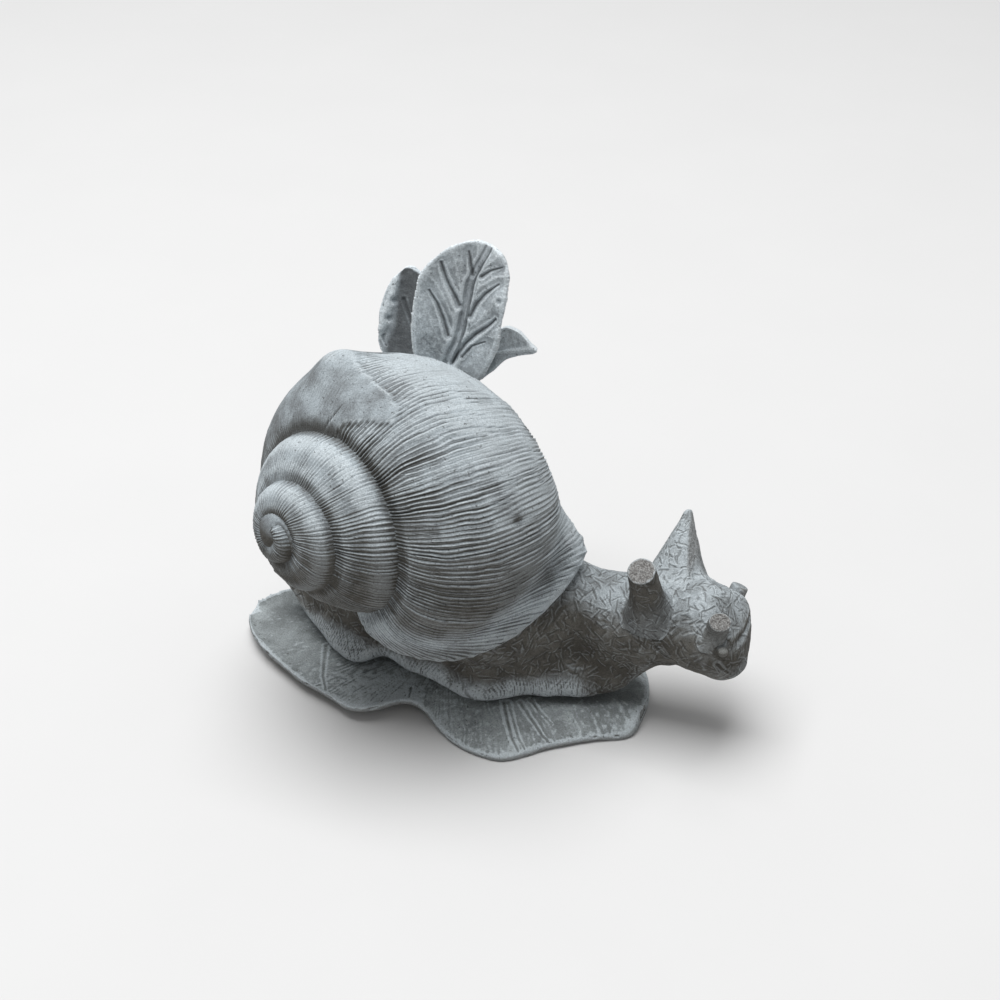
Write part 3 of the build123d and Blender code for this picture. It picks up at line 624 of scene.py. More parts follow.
def makeShell():
    apex, down, up, side = shellAxes()
    turns = np.linspace(shell["firstTurn"], shell["lastTurn"] + shell["overrun"], 6000)
    reach = whorlForm(turns)[0] + whorlForm(turns)[1]
    length = np.concatenate([[0], np.cumsum(2 * math.pi * 0.5 * (reach[1:] + reach[:-1]) * np.diff(turns))])
    columns = int(length[-1] / shell["columnStep"])
    column = np.interp(np.linspace(0, length[-1], columns), length, turns)
    lowerRows = 1 + np.linspace(0, 1, shell["lowerRows"])[1:]
    rows = np.concatenate([np.linspace(0, 1, shell["upperRows"]), lowerRows, (2.35, 2.7, 3.0)])
    real, row = np.meshgrid(column, rows, indexing="ij")
    radius, fall, middle, _, depth, _ = flaredPoint(real, row)
    rim = lipTurns(rows)

    def place(realTurn, radius, fall):
        angle = math.radians(shell["startAngle"]) + 2 * math.pi * realTurn
        radial = np.cos(angle)[..., None] * up + np.sin(angle)[..., None] * side
        return apex + radial * radius[..., None] + down * fall[..., None]

    points = place(real, radius, fall)
    normals = np.cross(np.gradient(points, axis=0), np.gradient(points, axis=1))
    normals /= np.maximum(np.linalg.norm(normals, axis=-1, keepdims=True), 1e-9)
    centre = place(real, middle, depth)
    if ((points - centre) * normals).sum(-1)[:, 5:30].mean() < 0:
        normals = -normals
    step = np.linalg.norm(np.diff(points, axis=1, prepend=points[:, :1]), axis=-1)
    across = np.cumsum(step, axis=1)
    along = np.interp(real, turns, length) * 0.95
    seamRow = math.radians(shell["tuck"]) / (math.pi / 2 - whorlForm(real)[5] + math.radians(shell["tuck"]))
    fromSeam = across - np.take_along_axis(across, np.argmin(np.abs(rows[None, :] - seamRow), axis=1)[:, None], axis=1)
    nextSeamR = seamPlace(real)[0]
    toSeam = np.where((real < shell["lastTurn"] - 1) & (row <= 1), (nextSeamR - radius) * 1.3, 99.0)
    nearSeam = np.exp(-np.maximum(fromSeam, 0) / 9.0) + np.exp(-np.maximum(toSeam, 0) / 7.0)
    line, spot = np.stack([across, across * 0], -1), np.stack([across, along], -1)
    ragged = 0.006 * lumpNoise(line, 5.0, 51) + 0.003 * lumpNoise(line, 1.7, 52)
    edge = smoothTable(shell["smoothEdge"], row)[0] + ragged
    smooth = fadeIn(real, shell["smoothStart"], shell["smoothStart"] + 0.1) * fadeIn(real, edge + 0.003, edge - 0.003)
    fade = (0.9 + 0.2 * nearSeam) * (0.42 + 0.58 * fadeIn(real, 2.9, 3.5)) * np.clip(3 - row, 0, 1)
    lines = growthLines(along, across, fade * (1 - 0.85 * smooth))
    toRim = (rim[None, :] - real) * 2 * math.pi * radius
    outside = row < 2.2
    drawn = 0.45 * lines + 0.16 * fadeIn(toRim + 3 * lumpNoise(spot, 7.0, 55), 9.0, 2.0) * outside
    # painted shade darkens the crease on both sides of each seam; the painted-light mark lifts a band behind the rim,
    # more strongly higher up, and lightens the painted shade there; the smooth slab is darker in tone
    stained = -0.9 * np.exp(-np.maximum(fromSeam, 0) / 4.0) - 0.5 * np.exp(-np.maximum(toSeam, 0) / 2.5)
    washed = fadeIn(toRim + 4 * lumpNoise(spot, 12.0, 56), *shell["washedBand"]) * outside
    washed = washed * (0.12 + 0.88 * fadeIn(points[..., 2], *shell["washedHeights"]))
    stained += 0.75 * washed - 1.1 * smooth
    relief = lines.copy()
    relief += shell["smoothHeight"] * smooth * fadeIn(real, edge - 0.16, edge - 0.01)
    corner, reach, height = shell["slabCorner"]
    relief += height * softSpot(points, corner, reach)
    for scratch in shell["scratches"]:
        for start, end in zip(scratch, scratch[1:]):
            perTurn, perRow = shell["scratchScale"]
            way = np.array([(end[0] - start[0]) * perTurn, (end[1] - start[1]) * perRow])
            offset = np.stack([(real - start[0]) * perTurn, (row - start[1]) * perRow], -1)
            share = np.clip((offset @ way) / (way @ way), 0, 1)
            far = np.linalg.norm(offset - share[..., None] * way, axis=-1)
            relief -= bell(far, shell["scratchWidth"])
    relief -= shell["creaseDepth"] * bell(toSeam, shell["creaseWidth"])
    relief -= 0.8 * shell["creaseDepth"] * bell(np.maximum(fromSeam, 0), 1.3 * shell["creaseWidth"])
    relief += shell["shoulder"] * bell(toSeam - 8.0, 5.0)
    relief += 0.5 * roughNoise(points, 26.0, 21) + 0.12 * roughNoise(points, 3.0, 25)
    points = points + normals * relief[..., None]
    drawn += 1.2 * softSpot(points, shell["chip"], 1.4)

    # each row stops at the lip, which is rounded over and runs back into the mouth, where a dark floor closes it
    meets = np.interp(rim, column, np.arange(columns))
    low, part, order = np.floor(meets).astype(int), meets - np.floor(meets), np.arange(len(rows))

    def atRim(values, back=0):
        share = part[:, None] if values.ndim == 3 else part
        return values[low - back, order] * (1 - share) + values[low + 1 - back, order] * share

    rimPoints, rimNormal, mouthMiddle = atRim(points), atRim(normals), atRim(centre)
    onward = rimPoints - atRim(points, 5)
    onward /= np.linalg.norm(onward, axis=-1, keepdims=True)
    lipColumns = []
    for forward, inward in ((1.1, 0.5), (1.7, 1.7), (1.5, 3.0), (0.4, 4.1)):
        lipColumns.append((rimPoints + onward * forward - rimNormal * inward)[None])
    for back, inward in ((7, 4.8), (17, 5.0), (30, 5.4)):
        lipColumns.append((atRim(points, back) - atRim(normals, back) * inward)[None])
    floorRing = lipColumns[-1][0]
    for share in (0.35, 0.7, 0.97):
        lipColumns.append((floorRing + (mouthMiddle.mean(0) - onward.mean(0) * 16 - floorRing) * share)[None])
    beyond = np.arange(columns)[:, None] > meets[None, :]
    points = np.where(beyond[..., None], rimPoints[None], points)
    drawn, stained = np.where(beyond, atRim(drawn)[None], drawn), np.where(beyond, atRim(stained)[None], stained)
    washed = np.where(beyond, atRim(washed)[None], washed)
    lipColumns.insert(0, points)
    grid = np.concatenate(lipColumns)
    lipMarks = np.full((len(lipColumns) - 1, len(rows)), 0.12)
    drawn, stained, washed = (np.concatenate([marks, share * lipMarks])
                              for marks, share in ((drawn, 1), (stained, 0), (washed, 0)))

    count, high = grid.shape[:2]
    i, j = np.meshgrid(np.arange(count - 1), np.arange(high - 1), indexing="ij")
    quads = np.stack([i * high + j, (i + 1) * high + j, (i + 1) * high + j + 1, i * high + j + 1], -1)
    turnOfColumn = np.concatenate([column, np.full(len(lipColumns) - 1, 9.0)])
    keep = (rows[None, 1:] <= 1.12) | (turnOfColumn[:-1, None] > shell["lastTurn"] - 1.2)
    keep[:columns - 1] &= ~(beyond[:-1, :-1] & beyond[:-1, 1:])
    quads = quads[keep]

    # round cap on the apex
    domeRows, domeColumns = 34, 120
    tilt, around = np.meshgrid(
        np.linspace(0.0, 1.75, domeRows), np.linspace(0, 2 * math.pi, domeColumns, endpoint=False), indexing="ij")
    way = (-down * np.cos(tilt)[..., None]
           + (up * np.cos(around)[..., None] + side * np.sin(around)[..., None]) * np.sin(tilt)[..., None])
    domeCentre = apex + down * shell["domeDepth"]
    dome = domeCentre + way * shell["domeRadius"]
    swirl = growthLines(around * 10.0 + 14 * tilt, tilt * 18.0, 0.3 * fadeIn(tilt, 0.3, 1.0))
    swirl -= 1.1 * bell(tilt - 0.5 - 0.45 * around / math.pi, 0.1) * fadeIn(around, 0.0, 1.0)
    dome = dome + way * (swirl + 0.35 * roughNoise(dome, 9.0, 31))[..., None]
    i, j = np.meshgrid(np.arange(domeRows - 1), np.arange(domeColumns), indexing="ij")
    nextJ = (j + 1) % domeColumns
    start = grid.shape[0] * grid.shape[1]
    upper, lower = i * domeColumns, (i + 1) * domeColumns
    domeQuads = np.stack([upper + j, lower + j, lower + nextJ, upper + nextJ], -1)
    allPoints = np.concatenate([grid.reshape(-1, 3), dome.reshape(-1, 3)])
    allQuads = np.concatenate([quads.reshape(-1, 4), domeQuads.reshape(-1, 4) + start])
    used = np.zeros(len(allPoints), bool)
    used[allQuads.ravel()] = True
    newPlace = np.cumsum(used) - 1
    drawn = np.concatenate([drawn.ravel(), 0.5 * swirl.ravel()])[used]
    stained = np.concatenate([stained.ravel(), np.zeros(swirl.size)])[used]
    washed = np.concatenate([washed.ravel(), np.zeros(swirl.size)])[used]
    piece = makeMesh("shellSpiral", allPoints[used], newPlace[allQuads])
    writeMark(piece, "drawn", drawn)
    writeMark(piece, "stained", stained)
    writeMark(piece, "washed", 0.85 * washed)
    ordered = bmesh.new()
    ordered.from_mesh(piece.data)
    bmesh.ops.remove_doubles(ordered, verts=ordered.verts, dist=0.000002)
    bmesh.ops.recalc_face_normals(ordered, faces=ordered.faces)
    ordered.to_mesh(piece.data)
    ordered.free()
    markWear(piece, 3, 20, readMark(piece, "drawn"), readMark(piece, "stained"))
    finishPiece(piece, "shell", shellStone)
    return piece


shellSpiral = makeShell()
print("shell wound")


# Carving of the castings under and behind the shell

def scoreStrokes(points, normals, stroke, weight):  # short straight tool marks, laid at random over a surface
    tree = treeOf(points)
    random = np.random.default_rng(stroke["seed"])
    relief = np.zeros(len(points))
    chosen = random.choice(len(points), stroke["count"], p=weight / weight.sum())
    for start in chosen:
        normal = normals[start]
        way = random.normal(size=3)
        way -= normal * way.dot(normal)
        way /= np.linalg.norm(way) + 1e-9
        half = stroke["length"] / 2 * random.uniform(0.6, 1.4)
        wide = stroke["width"] * random.uniform(0.7, 1.3)
        deep = stroke["depth"] * random.uniform(0.4, 1.3) * (-1 if random.random() < stroke["cutShare"] else 0.7)
        near = np.array([hit[1] for hit in tree.find_range(points[start], half + wide)], int)
        if not len(near):
            continue
        offset = points[near] - points[start]
        runs = offset @ way
        aside = offset - runs[:, None] * way - (offset @ normal)[:, None] * normal
        aside = np.linalg.norm(aside, axis=1)
        shape = bell(aside, wide) * np.clip((half - np.abs(runs)) / wide, 0, 1)
        facing = (normals[near] @ normal) > 0.2
        relief[near] += deep * shape * facing
    return np.clip(relief, -2.2 * stroke["depth"], 1.6 * stroke["depth"])


body = {
    "cell": 0.95, "mostTriangles": 192000, "lump": 0.7, "lumpSize": 15.0, "grainDepth": 0.14,
    "strokes": {"seed": 5, "count": 800, "length": 9.5, "width": 0.8, "depth": 0.3, "cutShare": 0.7},
    "frillSpacing": 1.9, "frillDepth": 0.5, "frillTop": 26.0,
    "creases": (
        (((169, -14, 67.4), (171.6, -11.8, 63.2), (174.9, -7.5, 58.8)), 0.8, 0.8),
        (((177.5, -8.0, 77.5), (179.7, 4.0, 78.2), (179.7, 13.5, 78.7), (178.5, 24.0, 78.7)), 2.2, 1.3),
        (((132.6, -16.4, 71.9), (139.8, -15.6, 65.7), (146.1, -13.2, 60.4)), 0.7, 0.7),
    ),
    "socketReach": 5.2, "socketDepth": 1.0, "eyeShift": (-1.25, -2.1, -2.2), "eyeSize": 1.3,
    "eyeCell": 0.14, "eyeGrain": 0.06,
    "swellings": (((160.0, 23.0, 98.0), 6.0, -2.4), ((161.0, 32.0, 97.0), 9.0, -3.8), ((173.0, 33.0, 82.0), 9.0, 3.5),
                  ((180.0, 0.0, 60.0), 8.0, 3.2), ((171.0, -4.0, 55.0), 9.0, 2.6), ((156.0, -6.0, 58.0), 8.0, -2.5)),
    "hornShade": ((133.0, -16.0, 88.0), 13.0, 0.3), "shellNear": 2.5, "bedTop": 12.6, "quietAbove": 92.0,
}


def nodeMiddle(node):  # middle of a CAD node's box, in millimetres
    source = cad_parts[node]
    corners = np.array([source.matrix_world @ Vector(corner) for corner in source.bound_box]) / millimetre
    return corners.mean(0)


def dishSockets(piece):  # a soft round dish round each eye, in place of the plain pit of the CAD body
    points, normals = readPoints(piece)
    edges = readEdges(piece)
    toEye = np.full(len(points), 99.0)
    right, left = nodeMiddle("eye_right"), nodeMiddle("eye_left")
    shifted = right + np.array(body["eyeShift"])  # the right eye sits a little off its CAD place
    for eye, deep in ((right, 0.0), (shifted, body["socketDepth"]), (left, body["socketDepth"])):
        far = np.linalg.norm(points - eye, axis=1)
        ring = (far > body["socketReach"]) & (far < body["socketReach"] + 4.0)
        out = normals[ring].mean(0)
        out /= np.linalg.norm(out)
        height = (points - eye) @ out
        spread = np.linalg.norm(points - eye - height[:, None] * out, axis=1)
        level = height[ring].mean()
        inside = (spread < body["socketReach"]) & (np.abs(height) < 9.0)
        dish = (1 - (spread / body["socketReach"]) ** 2) ** 2 * (deep > 0)
        target = level * (1 - dish) - deep * dish
        points += np.where(inside, target - height, 0.0)[:, None] * out
        toEye = np.minimum(toEye, np.where((np.abs(height) < 9.0) & (deep > 0), spread, 99.0))
    for _ in range(4):
        points += (0.5 * fadeIn(toEye, 7.5, 5.0))[:, None] * (neighbourMean(points, edges) - points)
    writePoints(piece, points)
    return toEye


def makeBody():
    piece = skinOver("snail_body", "snailBody", body["cell"], 3)
    toEye = dishSockets(piece)
    points, normals = readPoints(piece)
    shellTree = treeOf(readPoints(shellSpiral)[0][::3])
    toShell = np.array([shellTree.find(point)[2] for point in points])
    hidden = (toShell < body["shellNear"]) | (points[:, 2] < body["bedTop"])
    weight = np.where(hidden, 0.02, 1.0) * np.where(points[:, 2] > body["quietAbove"], 0.45, 1.0)
    relief = body["lump"] * roughNoise(points, body["lumpSize"], 41) + body["grainDepth"] * roughNoise(points, 3.2, 45)
    relief += scoreStrokes(points, normals, body["strokes"], weight)
    frill = fadeIn(points[:, 2] + 3 * lumpNoise(points[:, :2], 16.0, 47), body["frillTop"] + 9, body["frillTop"] - 2)
    frill *= fadeIn(np.abs(normals[:, 2]), 0.95, 0.6) * fadeIn(points[:, 0], 100.0, 80.0)
    bend = np.arctan2(points[:, 1] - 10, points[:, 0] - 20)
    runs = points[:, 0] + 40 * bend + 1.1 * lumpNoise(points, 7.0, 48)
    cell = np.floor(runs / body["frillSpacing"])
    part = runs / body["frillSpacing"] - cell
    gathers = frill * (0.4 + 0.8 * randomOf(cell, 49)) * bell(part - 0.5, 0.2)
    relief -= body["frillDepth"] * gathers
    for line, width, depth in body["creases"]:
        relief += cutGroove(points, line, width, depth, 0.25)
    for middle, reach, height in body["swellings"]:
        relief += height * softSpot(points, middle, reach)
    writePoints(piece, points + normals * (relief * fadeIn(toShell, 0.5, 3.0))[:, None])
    writeMark(piece, "tooled", np.clip(1 - 1.3 * frill, 0, 1) * fadeIn(toEye, 3.0, 6.0))
    # the shaded mark paints shade round the eye sockets and below the right horn, painted light on the frill, and
    # darker gathers; the painted-light mark lifts the painted shade on the frill
    middle, reach, amount = body["hornShade"]
    shade = amount * softSpot(points, middle, reach)
    writeMark(piece, "shaded", 0.8 * frill - 1.1 * gathers - np.maximum(0.9 * fadeIn(toEye, 5.0, 3.5), shade))
    writeMark(piece, "washed", 0.75 * frill)
    thinHidden(piece, hidden, body["mostTriangles"])
    markWear(piece, extraWide=readMark(piece, "shaded"))
    finishPiece(piece, "snail_body", bodyStone)
    return piece


snailBody = makeBody()
print("body carved")

leafBase = {
    "cell": 0.85, "mostTriangles": 180000, "lump": 0.6, "lineSpacing": 1.7, "lineDepth": 0.13, "middle": (-10.0, 6.0),
    "veins": (
        (((44.4, -25.8), (51.0, -39.3), (58.0, -51.5), (64.2, -58.0)), 1.1, 0.8),
        (((46.7, -24.8), (55.1, -40.1), (61.6, -50.1), (68.4, -56.0)), 0.8, 0.5),
        (((53.6, -22.4), (63.6, -33.3), (73.8, -42.3), (80.1, -44.8)), 0.9, 0.5),
        (((58.5, -18.2), (67.5, -26.5), (77.0, -33.1)), 0.8, 0.4),
        (((-79.6, -10.5), (-74.1, -26.6), (-69.3, -39.6), (-61.9, -52.3)), 0.9, 0.5),
        (((-13.8, -32.1), (-11.1, -42.5)), 0.8, 0.6),
    ),
    "paleSpot": ((-30.0, -45.0), 42.0, 0.35),
}


def makeLeafBase():
    piece = skinOver("leaf_base", "leafBase", leafBase["cell"], 3)
    points, normals = readPoints(piece)
    hidden = normals[:, 2] < -0.7
    top = fadeIn(normals[:, 2], 0.2, 0.6)
    rim = fadeIn(np.abs(normals[:, 2]), 0.8, 0.3) * (points[:, 2] > 3.0)
    relief = leafBase["lump"] * roughNoise(points, 20.0, 61) + 0.13 * roughNoise(points, 3.0, 65)
    x, y = points[:, 0] - leafBase["middle"][0], points[:, 1] - leafBase["middle"][1]
    runs = np.arctan2(y, x) * 30 + 0.25 * x + 1.2 * lumpNoise(points, 14.0, 66) + 0.4 * lumpNoise(points, 4.0, 68)
    cell = np.floor(runs / leafBase["lineSpacing"])
    part = runs / leafBase["lineSpacing"] - cell
    broken = np.clip(0.5 + 1.5 * lumpNoise(np.stack([cell * 3.1, np.hypot(x, y) / 16.0], -1), 1.0, 69), 0, 1)
    relief -= top * leafBase["lineDepth"] * (0.3 + randomOf(cell, 67)) * broken * bell(part - 0.5, 0.22)
    for line, width, depth in leafBase["veins"]:
        relief += 0.7 * top * cutGroove(points[:, :2], line, width, depth, 0.35)
    chips = fadeIn(roughNoise(points, 6.0, 71), 0.15, 0.55)
    relief -= rim * (0.9 * chips + 0.3 * np.maximum(roughNoise(points, 2.2, 73), 0))
    rise = points + normals * relief[:, None]
    rise[:, 2] = np.where(points[:, 2] < 0.6, points[:, 2], np.maximum(rise[:, 2], 0.02))
    writePoints(piece, rise)
    writeMark(piece, "chipped", rim * (0.12 + 0.25 * fadeIn(lumpNoise(points, 5.0, 75), -0.2, 0.5)))
    # painted light: a paler patch on the top near the body, where the shell's shadow falls
    middle, reach, amount = leafBase["paleSpot"]
    writeMark(piece, "pale", amount * top * softSpot(points[:, :2], middle, reach))
    thinHidden(piece, hidden, leafBase["mostTriangles"])
    markWear(piece, extraNear=readMark(piece, "chipped"), extraWide=readMark(piece, "pale"))
    finishPiece(piece, "leaf_base", leafStone)
    return piece


makeLeafBase()
print("leaf base carved")

# Horns and feelers: foot and tip place each one, fillet and reach are its soft root, rounding melts its edges,
# and move, wide and tall reshape it over the first rise millimetres
stubs = {
    "hornRight": {
        "node": "horn_right", "foot": (124.5, -6.0, 91.0), "tip": (122.3, -22.6, 128.2), "cell": 0.45, "rounding": 0,
        "fillet": 2.4, "reach": 4.5, "move": (0.5, 0.4, 0.6), "wide": 1.15, "tall": 1.15, "rise": 22.0,
        "melt": 30, "rough": 1.0, "tooled": 0.9, "washed": 0.45, "washedRise": (22.0, 5.0), "seed": 0},
    "hornLeft": {
        "node": "horn_left", "foot": (135.5, 30.0, 91.0), "tip": (131.4, 43.6, 127.7), "cell": 0.45, "rounding": 60,
        "fillet": 6.0, "reach": 9.0, "move": (0.0, 0.0, 0.0), "wide": 1.0, "tall": 1.0, "rise": 20.0,
        "melt": 30, "rough": 1.0, "tooled": 0.9, "washed": 0.25, "seed": 1,
        "flareWay": (0.94, 0.34, 0.0), "flare": 0.9, "sunk": 3.5, "splitWay": (0.93, -0.36, 0.0), "splitFrom": 101.0},
    "feelerRight": {
        "node": "feeler_right", "foot": (165.6, -12.0, 85.0), "tip": (167.3, -18.0, 90.5), "cell": 0.3, "rounding": 4,
        "fillet": 1.6, "reach": 2.0, "move": (0.2, 4.1, 5.3), "wide": 1.29, "tall": 1.1, "rise": 3.5,
        "melt": 15, "rough": 0.55, "tooled": 0.4, "washed": 0.25, "seed": 2},
    "feelerLeft": {
        "node": "feeler_left", "foot": (165.6, 36.0, 85.0), "tip": (170.4, 35.4, 89.1), "cell": 0.3, "rounding": 12,
        "fillet": 2.2, "reach": 2.4, "move": (0.9, -2.6, -5.9), "wide": 1.45, "tall": 1.1, "rise": 1.5,
        "melt": 0, "rough": 0.2, "tooled": 0.4, "washed": 0.25, "lastRounding": 30, "seed": 3},
}
breakGrain = 0.3  # depth of the grain in a broken face


def aboveHead(points, foot, way, across, ring, stub, edges):  # height of each point over the head round the stub
    if stub["melt"]:
        ringTree = treeOf(ring)
        level = np.array([(point - np.array(ringTree.find(point)[0])) @ way for point in points])
        for _ in range(stub["melt"]):
            level = 0.4 * level + 0.6 * neighbourMean(level, edges)
        return level
    # the head falls away steeply beside this one, so its level is taken from a flat fit
    plane = np.stack([across, np.cross(way, across)], -1)
    around = np.c_[(ring - foot) @ plane, np.ones(len(ring))]
    flat = np.linalg.lstsq(around, (ring - foot) @ way, rcond=None)[0]
    return (points - foot) @ way - np.c_[(points - foot) @ plane, np.ones(len(points))] @ flat


def makeStub(name, stub, bodyPoints):  # a soft root on the head, and a grainy face where it broke off
    piece = skinOver(stub["node"], name, stub["cell"], 2)
    relax(piece, stub["rounding"])
    points, normals = readPoints(piece)
    foot = np.array(stub["foot"])
    way = np.array(stub["tip"]) - foot
    way /= np.linalg.norm(way)
    across = np.cross(way, (0.0, 0.0, 1.0))
    across /= np.linalg.norm(across)
    run = (points - foot) @ way
    aside = points - foot - run[:, None] * way
    radius = np.linalg.norm(aside, axis=1)
    girth = np.percentile(radius[run < np.percentile(run, 60)], 90)
    ringRun = (bodyPoints - foot) @ way
    ringFar = np.linalg.norm(bodyPoints - foot - ringRun[:, None] * way, axis=1)
    ring = bodyPoints[(ringFar > girth + 0.8) & (ringFar < girth + 4.0) & (np.abs(ringRun) < 30)]
    level = aboveHead(points, foot, way, across, ring, stub, readEdges(piece))
    height = np.clip(level, -0.6, 60)
    spread = stub["fillet"] * (0.7 * np.exp(-height / stub["reach"]) + 0.5 * np.exp(-height / (0.2 * stub["reach"])))
    outward = aside / np.maximum(radius, 0.01)[:, None]
    if "flare" in stub:
        spread = spread * (1 + stub["flare"] * np.clip(outward @ np.array(stub["flareWay"]), 0, 1))
    points += outward * spread[:, None] * fadeIn(radius, 0.3, 2.0)[:, None]
    if "sunk" in stub:
        points -= way * (stub["sunk"] * fadeIn(level, 1.2, -0.8))[:, None]
    share = fadeIn(level, -0.5, stub["rise"])[:, None]
    sideways = (aside @ across)[:, None] * across
    stretched = (stub["wide"] - 1) * sideways + (stub["tall"] - 1) * (aside - sideways)
    points += share * (np.array(stub["move"]) + stretched)
    facing = normals @ way
    split = "splitWay" in stub
    if split:
        broken = fadeIn(normals @ np.array(stub["splitWay"]), 0.72, 0.86)
        broken = broken * fadeIn(points[:, 2], stub["splitFrom"], stub["splitFrom"] + 6)
    else:
        broken = fadeIn(facing, 0.7, 0.86) * (level > 1.0)
    seed = stub["seed"]
    relief = stub["rough"] * (0.35 * roughNoise(points, 9.0, 71 + seed) + 0.12 * roughNoise(points, 2.2, 81 + seed))
    relief += broken * breakGrain * roughNoise(points, 1.7, 91 + seed)
    edge = fadeIn(facing, 0.35, 0.6) * fadeIn(facing, 0.95, 0.75) * (level > 1.0)
    relief -= stub["rough"] * edge * 0.5 * np.maximum(roughNoise(points, 2.6, 95 + seed), 0)
    writePoints(piece, points + normals * relief[:, None])
    relax(piece, stub.get("lastRounding", 0))
    markWear(piece, extraNear=0.12 * edge * (not split), extraWide=0.7 * split)
    # painted light: lifts each stub's painted shade, on the right horn only towards its root
    washed = stub["washed"] * (fadeIn(level, *stub["washedRise"]) if "washedRise" in stub else np.ones(len(points)))
    for mark, values in (("broken", broken), ("tooled", (1 - broken) * stub["tooled"]), ("washed", washed)):
        writeMark(piece, mark, values)
    finishPiece(piece, stub["node"], bodyStone)


def makeEyes():
    for node, name in (("eye_right", "eyeRight"), ("eye_left", "eyeLeft")):
        piece = skinOver(node, name, body["eyeCell"], 2)
        points, normals = readPoints(piece)
        points += normals * (body["eyeGrain"] * roughNoise(points, 1.2, 101))[:, None]
        if name == "eyeRight":
            middle = points.mean(0)
            points = middle + np.array(body["eyeShift"]) + (points - middle) * body["eyeSize"]
        writePoints(piece, points)
        markWear(piece)
        finishPiece(piece, node, eyeStone)


headAround, _ = readPoints(snailBody)
for stubName, stubValues in stubs.items():
    makeStub(stubName, stubValues, headAround)
makeEyes()
print("horns, feelers and eyes carved")

# Sprig: each groove is a line of places with its width and depth
sprig = {
    "pieces": (("sprig_knuckle", "sprigKnuckle", 0.5), ("leaf_tall", "leafTall", 0.42),
               ("leaf_curled", "leafCurled", 0.42), ("leaf_pointed", "leafPointed", 0.35)),
    "front": (0.25, -0.95, 0.15), "puff": 1.7, "puffReach": 5.5, "ribLeft": 2.3, "ribRight": 1.7,
    "midrib": ((-22.9, 61.3, 187.4), (-18.1, 62.0, 200.9), (-15.3, 62.7, 211.1), (-12.3, 64.6, 230.5),
               (-10.4, 66.1, 244.5), (-8.6, 67.4, 254.5), (-5.7, 68.5, 264.9)),
    "veins": (
        (((-17.7, 64.2, 226.5), (-23.5, 64.6, 237.0), (-28.0, 64.6, 246.0), (-31.5, 64.4, 252.5)), 1.4, 1.3),
        (((-24.0, 62.3, 206.2), (-27.2, 62.6, 216.9), (-30.9, 62.6, 226.2), (-35.7, 62.3, 234.0)), 1.2, 1.1),
        (((-11.2, 66.4, 246.3), (-14.6, 67.1, 253.6), (-17.4, 67.6, 260.5)), 1.0, 0.9),
        (((-5.6, 66.1, 246.5), (-1.5, 66.3, 251.0), (4.8, 65.9, 254.3)), 0.9, 0.8),
        (((-10.7, 63.4, 220.9), (-6.6, 64.1, 229.9), (-1.2, 64.4, 237.1), (6.7, 64.3, 243.8)), 1.2, 1.1),
        (((-21.0, 61.3, 189.0), (-13.7, 61.8, 201.8), (-6.2, 61.9, 210.6), (2.5, 61.6, 218.3), (8.7, 61.4, 222.8)),
         1.4, 1.4),
        (((-14.7, 61.2, 193.8), (-8.5, 61.3, 202.5), (-0.2, 60.7, 207.0)), 0.8, 0.7),
    ),
    "curledVeins": (
        (((-58.8, 80.5, 214.7), (-55.1, 79.1, 205.3), (-51.4, 77.5, 196.5), (-48.6, 74.9, 184.6)), 0.9, 0.9),
        (((-66.7, 73.1, 191.9), (-63.2, 72.3, 185.3)), 0.8, 0.7),
    ),
    "curledRim": ((-63.5, 81.3, 226.3), (-65.9, 78.9, 216.2), (-68.9, 76.0, 206.4), (-70.7, 73.8, 196.2)),
    "notches": ((-64.6, 78.9, 213.9), (-67.0, 75.8, 202.8)),
    "pointedRib": ((1.7, 72.3, 192.4), (8.1, 73.5, 195.1), (14.0, 74.6, 196.9), (21.1, 75.8, 198.4),
                   (25.3, 77.8, 198.0)),
    "pointedHollow": (3.8, 71.7, 187.6), "edgeChip": (10.4, 62.6, 234.5),
    "bends": (  # the leaf, the axis it moves along, how far, and the fades (axis, from, to) that bound the move
        ("leafTall", 0, 5.0, ((2, 238.0, 266.0),)),
        ("leafPointed", 0, -8.5, ((2, 170.0, 182.0), (2, 197.0, 189.0))),
        ("leafPointed", 2, 4.0, ((2, 198.0, 206.0), (0, 2.0, 10.0))),
        ("leafCurled", 0, -4.5, ((2, 200.0, 186.0), (0, -50.0, -60.0))),
    ),
    "waistDepth": 3.2, "waistHeight": 228.0, "waistReach": 17.0,
}


def carveTall(points, front):
    relief = np.zeros(len(points))
    toVein = np.full(len(points), 99.0)
    for line, width, depth in sprig["veins"]:
        relief += cutGroove(points, line, width, depth, 0.35)
        toVein = np.minimum(toVein, lineDistance(points, line)[0])
    midrib = np.array(sprig["midrib"])
    far, along = lineDistance(points, midrib)
    toVein = np.minimum(toVein, far)
    relief += 0.8 * bell(far, 1.5) * (1.1 - 0.5 * along)
    for shift, width, depth in ((-sprig["ribLeft"], 1.5, 1.3), (sprig["ribRight"], 0.7, 1.0)):
        relief += cutGroove(points, midrib + np.array((shift, 0, 0)), width, depth, 0.2)
    relief += sprig["puff"] * (1 - bell(toVein, sprig["puffReach"]))
    relief -= 1.6 * softSpot(points, sprig["edgeChip"], 1.6)
    return 0.85 * relief * front, 0.15 - 1.1 * bell(toVein, 1.1) * front


def carveCurled(points, front):
    relief = sum(cutGroove(points, line, width, depth) for line, width, depth in sprig["curledVeins"])
    rim = bell(lineDistance(points, sprig["curledRim"])[0], 3.2)
    relief = relief + 1.6 * rim
    for notch in sprig["notches"]:
        relief -= 2.2 * softSpot(points, notch, 2.0)
    hollow = fadeIn(points[:, 0], -66.0, -60.0) * front
    return relief * front, 0.6 * rim - 1.7 * hollow


